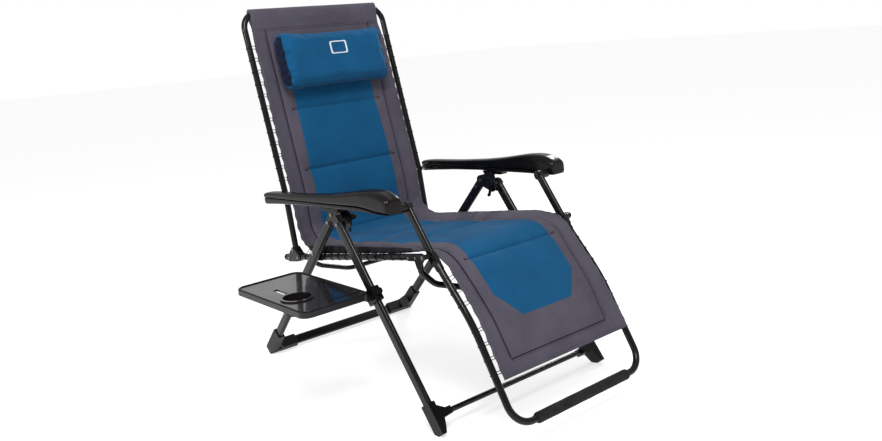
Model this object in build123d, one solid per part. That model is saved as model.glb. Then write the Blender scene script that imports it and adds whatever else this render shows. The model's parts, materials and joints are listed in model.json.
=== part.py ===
from build123d import *
import os
from math import atan2, hypot, sin

# Zero gravity recliner. X is across the chair (+X is the sitter's left), the sitter faces -Y, Z is up.
# The origin is on the floor, midway across the chair and midway between the front and rear feet.
# Everything is in millimetres.
# A side point is a pair (y, z).

# ---- driving sizes ----------------------------------------------------------------------------
TUBE_OD = 20.0                # round frame tube
TUBE_WALL = 1.2
OVAL_WIDE = 34.0              # flat-oval leg tube, seen from the side
OVAL_THIN = 17.0              # flat-oval leg tube, across the chair
LINK_WIDE = 26.0              # flat-oval upper link, seen from the side
LINK_THIN = 15.0
PIN_D = 8.0                   # pivot pins
BOLT_HEAD_D = 11.0
BOLT_HEAD_T = 2.0
PLATE = 3.0                   # steel bracket plate
SLING_T = 9.0                 # padded sling
RUN_FIT = 0.05                # radial running clearance of a pin
GAP = 0.6                     # side clearance between pieces that move past each other
TOUCH = 0.05                  # hairline between pieces fixed to each other

SEAT_HALF = 283.0             # centre plane of the seat rails and the back tubes
LEGREST_HALF = SEAT_HALF - TUBE_OD - 1.0
REAR_LEG_HALF = 307.0
FRONT_LEG_HALF = 329.0
ARM_OUTER = 355.0             # outer face of the armrests
ARM_WIDTH_FRONT = 58.0
ARM_WIDTH_REAR = 42.0
ARM_CREST = 57.0              # highest point of the armrest above the line of its pivots
ARM_SEAM = 9.0                # seam of the armrest above the line of its pivots

# ---- side points that everything is worked out from -------------------------------------------
BACK_HINGE = (269.0, 412.0)
KNEE_HINGE = (-429.0, 488.0)
ARM_REAR_PIVOT = (292.0, 588.0)
ARM_FRONT_PIVOT = (-341.0, 614.0)
SEAT_PIVOT = (110.0, 426.0)
FOLD_PIVOT = (-86.0, 548.0)
SLIDER_PIVOT = (-66.0, 588.5)
LOCK_KNOB = (-106.0, 567.0)
REAR_LEG_TOP = (-33.0, 572.0)
REAR_FOOT = (482.0, 21.0)
FRONT_FOOT = (-477.0, 22.0)
BACK_TOP = (442.0, 1188.0)
BACK_BEND = (292.0, 588.0)
KNEE_BEND = (-574.0, 321.054)
FOOT_BAR = (-715.0, 69.0)
RAIL_DROP = 27.5              # seat rail centre line below the back hinge
RAIL_REAR_OVERHANG = 62.0
RAIL_FRONT_INSET = 20.0
FOOT_BAR_CORNER = 60.0
BACK_CORNER = 55.0
REAR_LEG_CORNER = 42.0
CROSSBAR_OD = 16.0
CROSSBAR_HEIGHT = 30.0
KNEE_BOW_OD = 18.0
KNEE_BOW_DROP = 124.0
REAR_BOW_OD = 16.0
REAR_BOW_DROP = 88.0

# ---- tray --------------------------------------------------------------------------------------
TRAY_TOP = 376.0
TRAY_T = 6.0
TRAY_RIM = 16.0
TRAY_INNER = 363.0
TRAY_WIDTH = 222.0
TRAY_FRONT = -266.0
TRAY_LENGTH = 396.0
TRAY_CORNER = 28.0
SLOT_LENGTH = 112.0
SLOT_WIDTH = 9.0
SLOT_INSET = 44.0
TRAY_ARM_T = 9.0
TRAY_ARM_WIDTH = 92.0
TRAY_ARM_REACH = 84.0
CUP_R = 41.0
CUP_RING_R = 49.0
CUP_DEPTH = 42.0
CUP_CENTRE = (-515.0, -117.0)

# ---- soft parts --------------------------------------------------------------------------------
SLING_HALF_BACK = 262.0
SLING_HALF_SEAT = 249.0
SLING_HALF_LEG = 242.0
PILLOW_HALF = 208.0
PILLOW_T = 76.0
PILLOW_LOW = 335.0            # distance up the back from the armrest pivot
PILLOW_HIGH = 533.0


# ---- small helpers -----------------------------------------------------------------------------
def along(a, b, distance):
    """The side point at a distance from a towards b."""
    length = hypot(b[0] - a[0], b[1] - a[1])
    return (a[0] + (b[0] - a[0]) * distance / length, a[1] + (b[1] - a[1]) * distance / length)


def aside(a, b, point, distance):
    """A side point moved square to the line from a to b, to the left of that line."""
    length = hypot(b[0] - a[0], b[1] - a[1])
    return (point[0] - (b[1] - a[1]) * distance / length, point[1] + (b[0] - a[0]) * distance / length)


def span(a, b):
    """The distance between two side points."""
    return hypot(b[0] - a[0], b[1] - a[1])


def at(x, point):
    """A side point placed at x."""
    return Vector(x, point[0], point[1])


def rod(p, q, diameter):
    """A round bar from p to q."""
    axis = Vector(q) - Vector(p)
    return Plane(origin=p, z_dir=axis) * Cylinder(
        diameter / 2, axis.length, align=(Align.CENTER, Align.CENTER, Align.MIN))


def cross_rod(x0, x1, point, diameter):
    """A round bar across the chair."""
    return rod(at(x0, point), at(x1, point), diameter)


def plate(outline, x0, x1):
    """A flat plate with a side outline, between x0 and x1."""
    face = make_face(Polyline(*[at(x0, p) for p in outline], close=True))
    return extrude(face, amount=x1 - x0, dir=(1, 0, 0))


def strap_plate(points, half_width, x0, x1):
    """A rounded plate that joins the side points in turn."""
    shape = None
    for a, b in zip(points, points[1:]):
        u = aside(a, b, a, half_width)
        v = aside(a, b, b, half_width)
        w = aside(a, b, b, -half_width)
        t = aside(a, b, a, -half_width)
        piece = plate([u, v, w, t], x0, x1) + cross_rod(x0, x1, a, 2 * half_width)
        piece = piece + cross_rod(x0, x1, b, 2 * half_width)
        shape = piece if shape is None else shape + piece
    return shape


def tube(path, outer, wall):
    """A round tube along a path."""
    start = Plane(origin=path @ 0, z_dir=path % 0)
    return sweep(start * Circle(outer / 2), path=path) - sweep(start * Circle(outer / 2 - wall), path=path)


def oval_tube(path, wide, thin, wall):
    """A flat-oval tube whose thin side lies across the chair at its start."""
    start = Plane(origin=path @ 0, x_dir=(1, 0, 0), z_dir=path % 0)
    shell = sweep(start * SlotOverall(wide, thin, rotation=90), path=path)
    core = sweep(start * SlotOverall(wide - 2 * wall, thin - 2 * wall, rotation=90), path=path)
    return shell - core


def oval_leg(x, top, foot, wide, thin, wall):
    """A straight flat-oval tube."""
    return oval_tube(Line(at(x, top), at(x, foot)), wide, thin, wall)


def mirrored(shape):
    return mirror(shape, about=Plane.YZ)


def both(shape):
    """A group of separate solids, one on each side."""
    return Compound(children=list(shape.solids()) + list(mirrored(shape).solids()))


def ribbon(points, thickness, half_width, radii):
    """A padded sheet that follows a side line, as wide as the sling."""
    middle = FilletPolyline(*[at(0, p) for p in points], radius=radii) if radii else Line(
        at(0, points[0]), at(0, points[1]))
    start = Plane(origin=middle @ 0, x_dir=(1, 0, 0), z_dir=middle % 0)
    return sweep(start * Rectangle(2 * half_width, thickness), path=middle)


# ---- rail line ---------------------------------------------------------------------------------
SEAT_LINE_FRONT = KNEE_HINGE
SEAT_LINE_REAR = (BACK_HINGE[0], BACK_HINGE[1] - RAIL_DROP)


def on_rail(distance, above=0.0):
    """A side point on the seat rail, measured forward from under the back hinge."""
    p = along(SEAT_LINE_REAR, SEAT_LINE_FRONT, distance)
    return aside(SEAT_LINE_FRONT, SEAT_LINE_REAR, p, above)


RAIL_LENGTH = span(SEAT_LINE_REAR, SEAT_LINE_FRONT)
RAIL_FRONT = RAIL_LENGTH - RAIL_FRONT_INSET


# ---- base: rear legs, apex brackets -----------------------------------------------------------
APEX_EDGE = 8.5
APEX_IN = REAR_LEG_HALF - OVAL_THIN / 2 - GAP - PLATE
APEX_OUT = REAR_LEG_HALF + OVAL_THIN / 2 + TOUCH + PLATE


def rear_leg_frame():
    """One bent flat-oval tube: down the right side, across the floor and up the left side."""
    h = REAR_LEG_HALF
    path = FilletPolyline(at(-h, REAR_LEG_TOP), at(-h, REAR_FOOT), at(h, REAR_FOOT), at(h, REAR_LEG_TOP),
                          radius=REAR_LEG_CORNER)
    frame = oval_tube(path, OVAL_WIDE, OVAL_THIN, TUBE_WALL)
    for point in (SEAT_PIVOT, *rear_leg_bolts()):
        for side in (-1, 1):
            frame = frame - cross_rod(side * (h - 20), side * (h + 20), point, PIN_D + 2 * TOUCH)
    return frame


def rear_leg_bolts():
    first = along(REAR_LEG_TOP, REAR_FOOT, 6)
    return first, along(first, REAR_FOOT, 36)


def rear_foot_cap():
    """The left rear shoe. It wraps the corner of the bent tube and has a slit behind the bend."""
    h = REAR_LEG_HALF
    length = span(REAR_LEG_TOP, REAR_FOOT)
    down = ((REAR_FOOT[0] - REAR_LEG_TOP[0]) / length, (REAR_FOOT[1] - REAR_LEG_TOP[1]) / length)
    plane = Plane(origin=at(h, REAR_FOOT), x_dir=(1, 0, 0),
                  z_dir=Vector(0, -down[1], down[0]))
    reach = OVAL_THIN / 2 + 4
    outline = [(-95, -reach), (-95, reach), (-34, reach), (-reach, 34), (-reach, 95), (reach, 95),
               (reach, -16), (-2, -reach - 4)]
    sign = 1 if (plane.y_dir.Y * down[0] + plane.y_dir.Z * down[1]) < 0 else -1
    points = [plane.from_local_coords((x, sign * y, 0)) for x, y in outline]
    face = make_face(Polyline(*points, close=True))
    block = extrude(face, amount=OVAL_WIDE / 2 + 2.5, dir=plane.z_dir, both=True)
    slit = [(-30, reach - 3.5), (-reach + 3.5, 30), (-reach + 3.5, reach - 3.5)]
    hole = make_face(Polyline(*[plane.from_local_coords((x, sign * y, 0)) for x, y in slit], close=True))
    block = block - extrude(hole, amount=OVAL_WIDE, dir=plane.z_dir, both=True)
    path = FilletPolyline(at(0, REAR_FOOT), at(h, REAR_FOOT), at(h, REAR_LEG_TOP), radius=REAR_LEG_CORNER)
    start = Plane(origin=path @ 0, x_dir=Vector(0, down[0], down[1]), z_dir=path % 0)
    tool = sweep(start * SlotOverall(OVAL_WIDE + 2 * TOUCH, OVAL_THIN + 2 * TOUCH, rotation=90), path=path)
    floor = Pos(h, REAR_FOOT[0], -50) * Box(400, 400, 100)
    return (block - tool - floor).solids().sort_by(SortBy.VOLUME)[-1]


def apex_bracket():
    """A channel over the top of the left rear leg, with two cheeks that carry the pivots."""
    inner0 = APEX_IN
    outer1 = APEX_OUT
    bolts = rear_leg_bolts()
    shape = None
    for x0 in (inner0, outer1 - PLATE):
        cheek = strap_plate([bolts[1], bolts[0], SLIDER_PIVOT, FOLD_PIVOT], APEX_EDGE, x0, x0 + PLATE)
        cheek = cheek + strap_plate([bolts[0], FOLD_PIVOT], 2 * APEX_EDGE, x0, x0 + PLATE)
        shape = cheek if shape is None else shape + cheek
    shape = shape + strap_plate([FOLD_PIVOT, LOCK_KNOB, SLIDER_PIVOT], APEX_EDGE, inner0, inner0 + PLATE)
    bridge = along(REAR_LEG_TOP, REAR_FOOT, -12)
    shape = shape + cross_rod(inner0, outer1, bridge, 14)
    for point in (*bolts, FOLD_PIVOT, SLIDER_PIVOT):
        shape = shape - cross_rod(inner0 - 1, outer1 + 1, point, PIN_D + 2 * TOUCH)
    return shape


def headed_pin(x0, x1, point, diameter=PIN_D):
    """A pin across the chair with a low head at each end."""
    low, high = sorted((x0, x1))
    pin = cross_rod(low, high, point, diameter)
    for a, b in ((low - BOLT_HEAD_T, low), (high, high + BOLT_HEAD_T)):
        pin = pin + cross_rod(a, b, point, diameter + BOLT_HEAD_D - PIN_D)
    return pin


def apex_bolts():
    pieces = [headed_pin(APEX_IN - TOUCH, APEX_OUT + TOUCH, p) for p in rear_leg_bolts()]
    return both(Compound(children=pieces))


def fold_pins():
    """The pins on which the front legs fold, fixed in the apex brackets."""
    x1 = FRONT_LEG_HALF + OVAL_THIN / 2 + GAP
    return both(headed_pin(APEX_IN - TOUCH, x1, FOLD_PIVOT))


def seat_pins():
    """The pins that carry the seat rails on the rear legs."""
    x0 = BRACKET_OUT - GAP
    x1 = REAR_LEG_HALF + OVAL_THIN / 2 + TOUCH
    return both(headed_pin(x0, x1, SEAT_PIVOT))


# ---- front legs --------------------------------------------------------------------------------


def front_leg():
    """The left front leg: a flat-oval tube with a rounded top."""
    start = along(FOLD_PIVOT, FRONT_FOOT, 1)
    leg = oval_leg(FRONT_LEG_HALF, start, FRONT_FOOT, OVAL_WIDE, OVAL_THIN, TUBE_WALL)
    x0 = FRONT_LEG_HALF - OVAL_THIN / 2
    cap = strap_plate([along(FOLD_PIVOT, FRONT_FOOT, -12), along(FOLD_PIVOT, FRONT_FOOT, 0.9)],
                      OVAL_WIDE / 2, x0, x0 + OVAL_THIN)
    cap = cap - plate([aside(FOLD_PIVOT, FRONT_FOOT, along(FOLD_PIVOT, FRONT_FOOT, d), w)
                       for d, w in ((1, 40), (60, 40), (60, -40), (1, -40))], x0 - 1, x0 + OVAL_THIN + 1)
    shape = leg + cap
    return shape - cross_rod(x0 - 1, x0 + OVAL_THIN + 1, FOLD_PIVOT, PIN_D + 2 * RUN_FIT)


CROSSBAR_POINT = along(FRONT_FOOT, FOLD_PIVOT, CROSSBAR_HEIGHT)


def front_foot_cap():
    """The left front shoe: a sleeve on the leg, a web inwards to the crossbar, and a floor tip."""
    h = FRONT_LEG_HALF
    down = along((0, 0), (FRONT_FOOT[0] - FOLD_PIVOT[0], FRONT_FOOT[1] - FOLD_PIVOT[1]), 1)
    plane = Plane(origin=at(h, FRONT_FOOT), x_dir=(1, 0, 0), z_dir=Vector(0, -down[1], down[0]))
    sign = 1 if (plane.y_dir.Y * down[0] + plane.y_dir.Z * down[1]) < 0 else -1
    reach = OVAL_THIN / 2 + 3
    bar = CROSSBAR_HEIGHT
    outline = [(reach, 70), (-reach, 70), (-reach, bar + 26), (-34, bar + 11), (-52, bar + 11),
               (-52, bar - 11), (-reach - 8, bar - 13), (-reach, -6), (-3, -24), (reach, -24)]
    points = [plane.from_local_coords((x, sign * y, 0)) for x, y in outline]
    block = extrude(make_face(Polyline(*points, close=True)), amount=OVAL_WIDE / 2 + 2.5,
                    dir=plane.z_dir, both=True)
    leg = oval_leg_solid(h, along(FRONT_FOOT, FOLD_PIVOT, 120), FRONT_FOOT)
    bar_hole = cross_rod(0, h - OVAL_THIN / 2 - 1 + TOUCH, CROSSBAR_POINT, CROSSBAR_OD + 2 * TOUCH)
    floor = Pos(h, FRONT_FOOT[0], -50) * Box(400, 400, 100)
    return (block - leg - bar_hole - floor).solids().sort_by(SortBy.VOLUME)[-1]


def oval_leg_solid(x, top, foot):
    path = Line(at(x, top), at(x, foot))
    start = Plane(origin=path @ 0, x_dir=(1, 0, 0), z_dir=path % 0)
    return sweep(start * SlotOverall(OVAL_WIDE + 2 * TOUCH, OVAL_THIN + 2 * TOUCH, rotation=90), path=path)


def front_crossbar():
    half = FRONT_LEG_HALF - OVAL_THIN / 2 - 1
    return tube(Line(at(-half, CROSSBAR_POINT), at(half, CROSSBAR_POINT)), CROSSBAR_OD, TUBE_WALL)


# ---- seat --------------------------------------------------------------------------------------
def seat_rail():
    """The left seat rail, with its pin holes."""
    rail = tube(Line(at(SEAT_HALF, on_rail(-RAIL_REAR_OVERHANG)), at(SEAT_HALF, on_rail(RAIL_FRONT))),
                TUBE_OD, TUBE_WALL)
    for distance in RAIL_BOLTS:
        rail = rail - cross_rod(SEAT_HALF - 15, SEAT_HALF + 15, on_rail(distance), 5 + 2 * TOUCH)
    return rail


RAIL_BOLTS = (-30.0, 26.0, RAIL_FRONT - 44.0, RAIL_FRONT - 12.0)
BRACKET_IN = SEAT_HALF - TUBE_OD / 2 - TOUCH - PLATE
BRACKET_OUT = SEAT_HALF + TUBE_OD / 2 + TOUCH


def rail_plugs():
    """Black end plugs in the rear ends of the rails."""
    r = TUBE_OD / 2
    a = on_rail(-RAIL_REAR_OVERHANG)
    inside = at(SEAT_HALF, on_rail(-RAIL_REAR_OVERHANG + 14))
    core = rod(inside, at(SEAT_HALF, a), 2 * (r - TUBE_WALL - TOUCH))
    face = at(SEAT_HALF, along(a, on_rail(0), -TOUCH))
    head = rod(face, at(SEAT_HALF, along(a, on_rail(0), -5)), 2 * r + 2)
    neck = rod(at(SEAT_HALF, a), at(SEAT_HALF, along(a, on_rail(0), -1)), 12)
    return both(core + head + neck)


def rear_hinge_bracket():
    """A folded steel channel on the left rail that carries the back tube between its two cheeks."""
    shape = None
    for x0 in (BRACKET_IN, BRACKET_OUT):
        reach = TUBE_OD / 2 + PLATE
        cheek = strap_plate([on_rail(RAIL_BOLTS[0]), on_rail(RAIL_BOLTS[1])], reach, x0, x0 + PLATE)
        corners = [on_rail(RAIL_BOLTS[0]), BACK_HINGE, on_rail(RAIL_BOLTS[1])]
        cheek = cheek + strap_plate(corners, 9, x0, x0 + PLATE)
        shape = cheek if shape is None else shape + cheek
    web = plate([on_rail(RAIL_BOLTS[0], -TUBE_OD / 2 - TOUCH), on_rail(RAIL_BOLTS[1], -TUBE_OD / 2 - TOUCH),
                 on_rail(RAIL_BOLTS[1], -TUBE_OD / 2 - PLATE), on_rail(RAIL_BOLTS[0], -TUBE_OD / 2 - PLATE)],
                BRACKET_IN, BRACKET_OUT + PLATE)
    shape = shape + web
    for distance in RAIL_BOLTS[:2]:
        shape = shape - cross_rod(BRACKET_IN - 1, BRACKET_OUT + PLATE + 1, on_rail(distance), 5 + 2 * TOUCH)
    return shape - cross_rod(BRACKET_IN - 1, BRACKET_OUT + PLATE + 1, BACK_HINGE, PIN_D + 2 * RUN_FIT)


def front_hinge_bracket():
    """A plate on the outside of the left rail that reaches forward and down to the knee hinge."""
    x0 = BRACKET_OUT
    low = aside(SEAT_LINE_REAR, SEAT_LINE_FRONT, on_rail(RAIL_FRONT - 6), 26)
    shape = strap_plate([on_rail(RAIL_BOLTS[2]), on_rail(RAIL_BOLTS[3]), KNEE_HINGE], 9, x0, x0 + PLATE)
    shape = shape + strap_plate([on_rail(RAIL_BOLTS[3]), low, KNEE_HINGE], 8, x0, x0 + PLATE)
    shape = shape + cross_rod(LEGREST_HALF + TUBE_OD / 2 + GAP + 0.4, x0 + PLATE, KNEE_HINGE, 15)
    for distance in RAIL_BOLTS[2:]:
        shape = shape - cross_rod(x0 - 1, x0 + PLATE + 1, on_rail(distance), 5 + 2 * TOUCH)
    return shape - cross_rod(LEGREST_HALF, x0 + PLATE + 1, KNEE_HINGE, PIN_D + 2 * RUN_FIT)


def seat_pivot_bracket():
    """The saddle that stands on the left rail and turns on the rear leg's pin."""
    x0 = BRACKET_OUT
    share = (BACK_HINGE[0] - SEAT_PIVOT[0]) / (BACK_HINGE[0] - KNEE_HINGE[0])
    foot = span(SEAT_LINE_REAR, SEAT_LINE_FRONT) * share
    shape = strap_plate([on_rail(foot - 24), SEAT_PIVOT, on_rail(foot + 24)], 9, x0, x0 + PLATE)
    shape = shape + strap_plate([on_rail(foot - 24), on_rail(foot + 24)], 9, x0, x0 + PLATE)
    return shape - cross_rod(x0 - 1, x0 + PLATE + 1, SEAT_PIVOT, PIN_D + 2 * RUN_FIT)


def rail_bolts():
    """The bolts that hold the hinge brackets on the rails."""
    pieces = []
    for distance in RAIL_BOLTS:
        rear = distance < RAIL_LENGTH / 2
        inner = BRACKET_IN - TOUCH if rear else SEAT_HALF - TUBE_OD / 2 - TOUCH
        pieces.append(headed_pin(inner, BRACKET_OUT + PLATE + TOUCH, on_rail(distance), 5))
    return both(Compound(children=pieces))


def knee_spreader():
    """A bowed tube that hangs between the front ends of the rails, from under the rails."""
    top = on_rail(RAIL_FRONT - KNEE_BOW_OD / 2 - 2, -TUBE_OD / 2 + 5)
    neck = (top[0] - 2, top[1] - 38)
    elbow = (top[0] - 6, top[1] - 82)
    low = (top[0] - 28, top[1] - KNEE_BOW_DROP)
    half = SEAT_HALF
    points = []
    for side in (-1, 1):
        run = [at(side * half, top), at(side * half, neck), at(side * (half - 43), elbow),
               at(side * (half - 170), low)]
        points = points + (run if side < 0 else run[::-1])
    bow = tube(FilletPolyline(*points, radius=[24, 60, 90, 90, 60, 24]), KNEE_BOW_OD, TUBE_WALL)
    for x in (-half, half):
        ends = [at(x, on_rail(RAIL_FRONT + s)) for s in (-80, 40)]
        bow = bow - rod(ends[0], ends[1], TUBE_OD + 2 * TOUCH)
    return bow.solids().sort_by(SortBy.VOLUME)[-1]


def rear_spreader():
    """A bowed tube that hangs between the rear hinge brackets."""
    side_point = on_rail((RAIL_BOLTS[0] + RAIL_BOLTS[1]) / 2)
    half = BRACKET_IN - TOUCH
    elbow = (side_point[0] + 3, side_point[1] - 50)
    low = (side_point[0] - 2, side_point[1] - REAR_BOW_DROP)
    points = []
    for side in (-1, 1):
        run = [at(side * half, side_point), at(side * (half - 16), side_point),
               at(side * (half - 72), elbow),
               at(side * (half - 190), low)]
        points = points + (run if side < 0 else run[::-1])
    return tube(FilletPolyline(*points, radius=[14, 80, 140, 140, 80, 14]), REAR_BOW_OD, TUBE_WALL)


# ---- back --------------------------------------------------------------------------------------
BACK_LOW = (BACK_HINGE[0] - 1.3, BACK_HINGE[1] - 10.5)


def back_frame():
    """One bent round tube: up the right side, across the top and down the left side."""
    h = SEAT_HALF
    path = FilletPolyline(at(-h, BACK_LOW), at(-h, BACK_BEND), at(-h, BACK_TOP), at(h, BACK_TOP),
                          at(h, BACK_BEND), at(h, BACK_LOW), radius=[400, BACK_CORNER, BACK_CORNER, 400])
    frame = tube(path, TUBE_OD, TUBE_WALL)
    for side in (-1, 1):
        frame = frame - cross_rod(side * (h - 15), side * (h + 15), BACK_HINGE, PIN_D + 2 * TOUCH)
        frame = frame - cross_rod(side * (h - 15), side * (h + 15), ARM_REAR_PIVOT, PIN_D + 2 * TOUCH)
    return frame


def back_pins():
    """The pins of the back hinge, fixed in the back tube and turning in the hinge brackets."""
    return both(headed_pin(BRACKET_IN - GAP / 2, BRACKET_OUT + PLATE + GAP / 2, BACK_HINGE))


ARM_SLOT_DEPTH = 24.0
ARM_SLOT_HALF_Y = 10.0
ARM_SLOT_HALF_Z = 6.0
ARM_INNER_REAR = ARM_OUTER - ARM_WIDTH_REAR - 1.0


def arm_rear_pins():
    """The pins on the back tube that run in the slots of the armrests."""
    x1 = ARM_INNER_REAR + ARM_SLOT_DEPTH - 4
    pin = cross_rod(SEAT_HALF - TUBE_OD / 2 - 2, x1, ARM_REAR_PIVOT, PIN_D)
    side = SEAT_HALF + TUBE_OD / 2
    collar = cross_rod(side + TOUCH, side + 10, ARM_REAR_PIVOT, PIN_D + 8)
    inner = SEAT_HALF - TUBE_OD / 2
    head = cross_rod(inner - 3, inner - TOUCH, ARM_REAR_PIVOT, BOLT_HEAD_D)
    return both(pin + collar + head)


BACK_UP = Vector(0, BACK_TOP[0] - BACK_BEND[0], BACK_TOP[1] - BACK_BEND[1]).normalized()
BACK_FORWARD = Vector(0, -BACK_UP.Z, BACK_UP.Y)


def on_back(up, forward):
    """A side point up the back from the armrest pivot and in front of the tube's centre line."""
    p = Vector(0, *ARM_REAR_PIVOT) + BACK_UP * up + BACK_FORWARD * forward
    return (p.Y, p.Z)


BACK_LENGTH = span(BACK_BEND, BACK_TOP)
SLEEVE_OD = 30.0


def back_sling():
    """The padded back panel, from above the seat to the sleeve round the top of the back frame."""
    low = (BACK_LOW[0] - 4, BACK_LOW[1] + 64)
    panel = ribbon([low, on_back(0, 0), on_back(BACK_LENGTH, 0)], SLING_T, SLING_HALF_BACK, [400])
    half = SEAT_HALF - BACK_CORNER - 2
    top = BACK_TOP
    sleeve = cross_rod(-half, half, top, SLEEVE_OD)
    keep = panel - (Pos(0, top[0], top[1] - 20) * Box(4 * SEAT_HALF, 200, 2 * 60))
    neck = ribbon([on_back(BACK_LENGTH - 85, 0), on_back(BACK_LENGTH - 8, 0)], SLING_T, half, None)
    bore = cross_rod(-half - 5, half + 5, top, TUBE_OD + 2 * TOUCH)
    return (keep + neck + sleeve) - bore


# ---- leg rest ----------------------------------------------------------------------------------
LINK_LOW = along(ARM_FRONT_PIVOT, KNEE_HINGE, span(ARM_FRONT_PIVOT, KNEE_HINGE) + 12)


def legrest_frame():
    """One bent round tube: down from the knee hinge, across the foot end and up the other side."""
    h = LEGREST_HALF
    top = along(KNEE_HINGE, KNEE_BEND, 27)
    left = [at(-h, top), at(-h, KNEE_BEND), at(-h, FOOT_BAR)]
    right = [at(h, FOOT_BAR), at(h, KNEE_BEND), at(h, top)]
    path = FilletPolyline(*left, *right, radius=[500, FOOT_BAR_CORNER, FOOT_BAR_CORNER, 500])
    return tube(path, TUBE_OD, TUBE_WALL)


def upper_link():
    """The left upper link: a flat-oval tube from the armrest to the knee hinge and the leg-rest tube."""
    x = LEGREST_HALF + 1.0
    top = along(ARM_FRONT_PIVOT, KNEE_HINGE, LINK_WIDE / 2 - 3)
    link = oval_leg(x, top, LINK_LOW, LINK_WIDE, LINK_THIN, TUBE_WALL)
    eye = cross_rod(x - LINK_THIN / 2, x + LINK_THIN / 2, ARM_FRONT_PIVOT, LINK_WIDE + 4)
    shape = link + eye
    socket = rod(at(LEGREST_HALF, along(KNEE_HINGE, KNEE_BEND, 22)),
                 at(LEGREST_HALF, along(KNEE_HINGE, KNEE_BEND, 48)), TUBE_OD + 4)
    bridge = strap_plate([KNEE_HINGE, along(KNEE_HINGE, KNEE_BEND, 24)], LINK_WIDE / 2,
                         x - LINK_THIN / 2, x + LINK_THIN / 2)
    shape = shape + bridge + socket
    bore = rod(at(LEGREST_HALF, along(KNEE_HINGE, KNEE_BEND, 27 - TOUCH)),
               at(LEGREST_HALF, along(KNEE_HINGE, KNEE_BEND, 60)), TUBE_OD + 2 * TOUCH)
    shape = shape - bore
    shape = shape - cross_rod(x - 20, x + 20, KNEE_HINGE, PIN_D + 2 * TOUCH)
    return shape - cross_rod(x - 20, x + 20, ARM_FRONT_PIVOT, PIN_D + 2 * TOUCH)


def knee_pins():
    """The pins of the knee hinge, fixed in the links and turning in the hinge brackets."""
    x0 = LEGREST_HALF + 1 - LINK_THIN / 2 - TOUCH
    return both(headed_pin(x0, BRACKET_OUT + PLATE + GAP / 2, KNEE_HINGE))


ARM_INNER_FRONT = ARM_OUTER - ARM_WIDTH_FRONT


def arm_front_pins():
    """The pins and round bosses that join the links to the front of the armrests."""
    x0 = LEGREST_HALF + 1 - LINK_THIN / 2 - TOUCH
    x1 = LEGREST_HALF + 1 + LINK_THIN / 2
    pin = cross_rod(x0, ARM_INNER_FRONT + 22, ARM_FRONT_PIVOT, PIN_D)
    head = cross_rod(x0 - 3, x0, ARM_FRONT_PIVOT, 16)
    boss = cross_rod(x1 + TOUCH, ARM_INNER_FRONT - GAP, ARM_FRONT_PIVOT, 26)
    return both(pin + head + boss)


def foot_bar_sleeve():
    """The foam sleeve round the foot bar."""
    half = LEGREST_HALF - FOOT_BAR_CORNER - 12
    outer = cross_rod(-half, half, FOOT_BAR, TUBE_OD + 11)
    return outer - cross_rod(-half - 1, half + 1, FOOT_BAR, TUBE_OD + 2 * TOUCH)


# ---- sling -------------------------------------------------------------------------------------
def seat_sling():
    """The padded seat panel between the rails."""
    rear = on_rail(42, 14)
    front = on_rail(RAIL_LENGTH - 34, 4)
    return ribbon([rear, front], SLING_T, SLING_HALF_SEAT, None)


def legrest_sling():
    """The padded leg panel, from the knee to the hem above the foot bar."""
    above = 13
    start = aside(KNEE_BEND, KNEE_HINGE, along(KNEE_HINGE, KNEE_BEND, 6), above)
    bend = aside(KNEE_BEND, KNEE_HINGE, KNEE_BEND, above)
    end = aside(FOOT_BAR, KNEE_BEND, along(KNEE_BEND, FOOT_BAR, 166), above)
    return ribbon([start, bend, end], SLING_T, SLING_HALF_LEG, [500])


# ---- armrests ----------------------------------------------------------------------------------
ARM_REAR_END = along(ARM_REAR_PIVOT, ARM_FRONT_PIVOT, -20)
ARM_FRONT_END = along(ARM_FRONT_PIVOT, ARM_REAR_PIVOT, -27)
ARM_LENGTH = span(ARM_REAR_END, ARM_FRONT_END)


def on_arm(distance, above):
    """A side point on the armrest, measured forward from its rear end and up from its pivot line."""
    p = along(ARM_REAR_END, ARM_FRONT_END, distance)
    return aside(ARM_FRONT_END, ARM_REAR_END, p, above)


# Distance from the rear end as a share of the length, and height above the line of the pivots.
ARM_UNDERSIDE = ((0.0, -14.5), (0.075, -11.0), (0.26, -5.5), (0.48, -3.6), (0.75, -4.4), (1.0, -6.5))
ARM_TOP_SHARES = ((0.985, 0.42), (0.962, 0.72), (0.92, 0.93), (0.87, 1.0), (0.8, 0.975), (0.7, 0.83),
                  (0.6, 0.7), (0.48, 0.59), (0.3, 0.51), (0.075, 0.47), (0.02, 0.37))


def arm_under(share):
    """Height of the armrest's underside at a share of its length from the rear end."""
    for (a, ha), (b, hb) in zip(ARM_UNDERSIDE, ARM_UNDERSIDE[1:]):
        if share <= b:
            return ha + (hb - ha) * (share - a) / (b - a)
    return ARM_UNDERSIDE[-1][1]


def arm_plan(grow=0.0):
    """The armrest seen from above, as a tall block: wide at the front and narrower behind."""
    y0 = ARM_REAR_END[0]
    y1 = ARM_FRONT_END[0]
    outer = ARM_OUTER
    points = [(outer, y0), (outer, y1 + 22), (outer - 16, y1 + 2), (outer - ARM_WIDTH_FRONT + 14, y1 - 4),
              (outer - ARM_WIDTH_FRONT, y1 + 10), (outer - ARM_WIDTH_FRONT, y1 + 180),
              (outer - ARM_WIDTH_REAR, y1 + 380), (outer - ARM_WIDTH_REAR, y0)]
    face = make_face(Polyline(*[(x, y, 500) for x, y in points], close=True))
    return extrude(face, amount=250, dir=(0, 0, 1))


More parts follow.
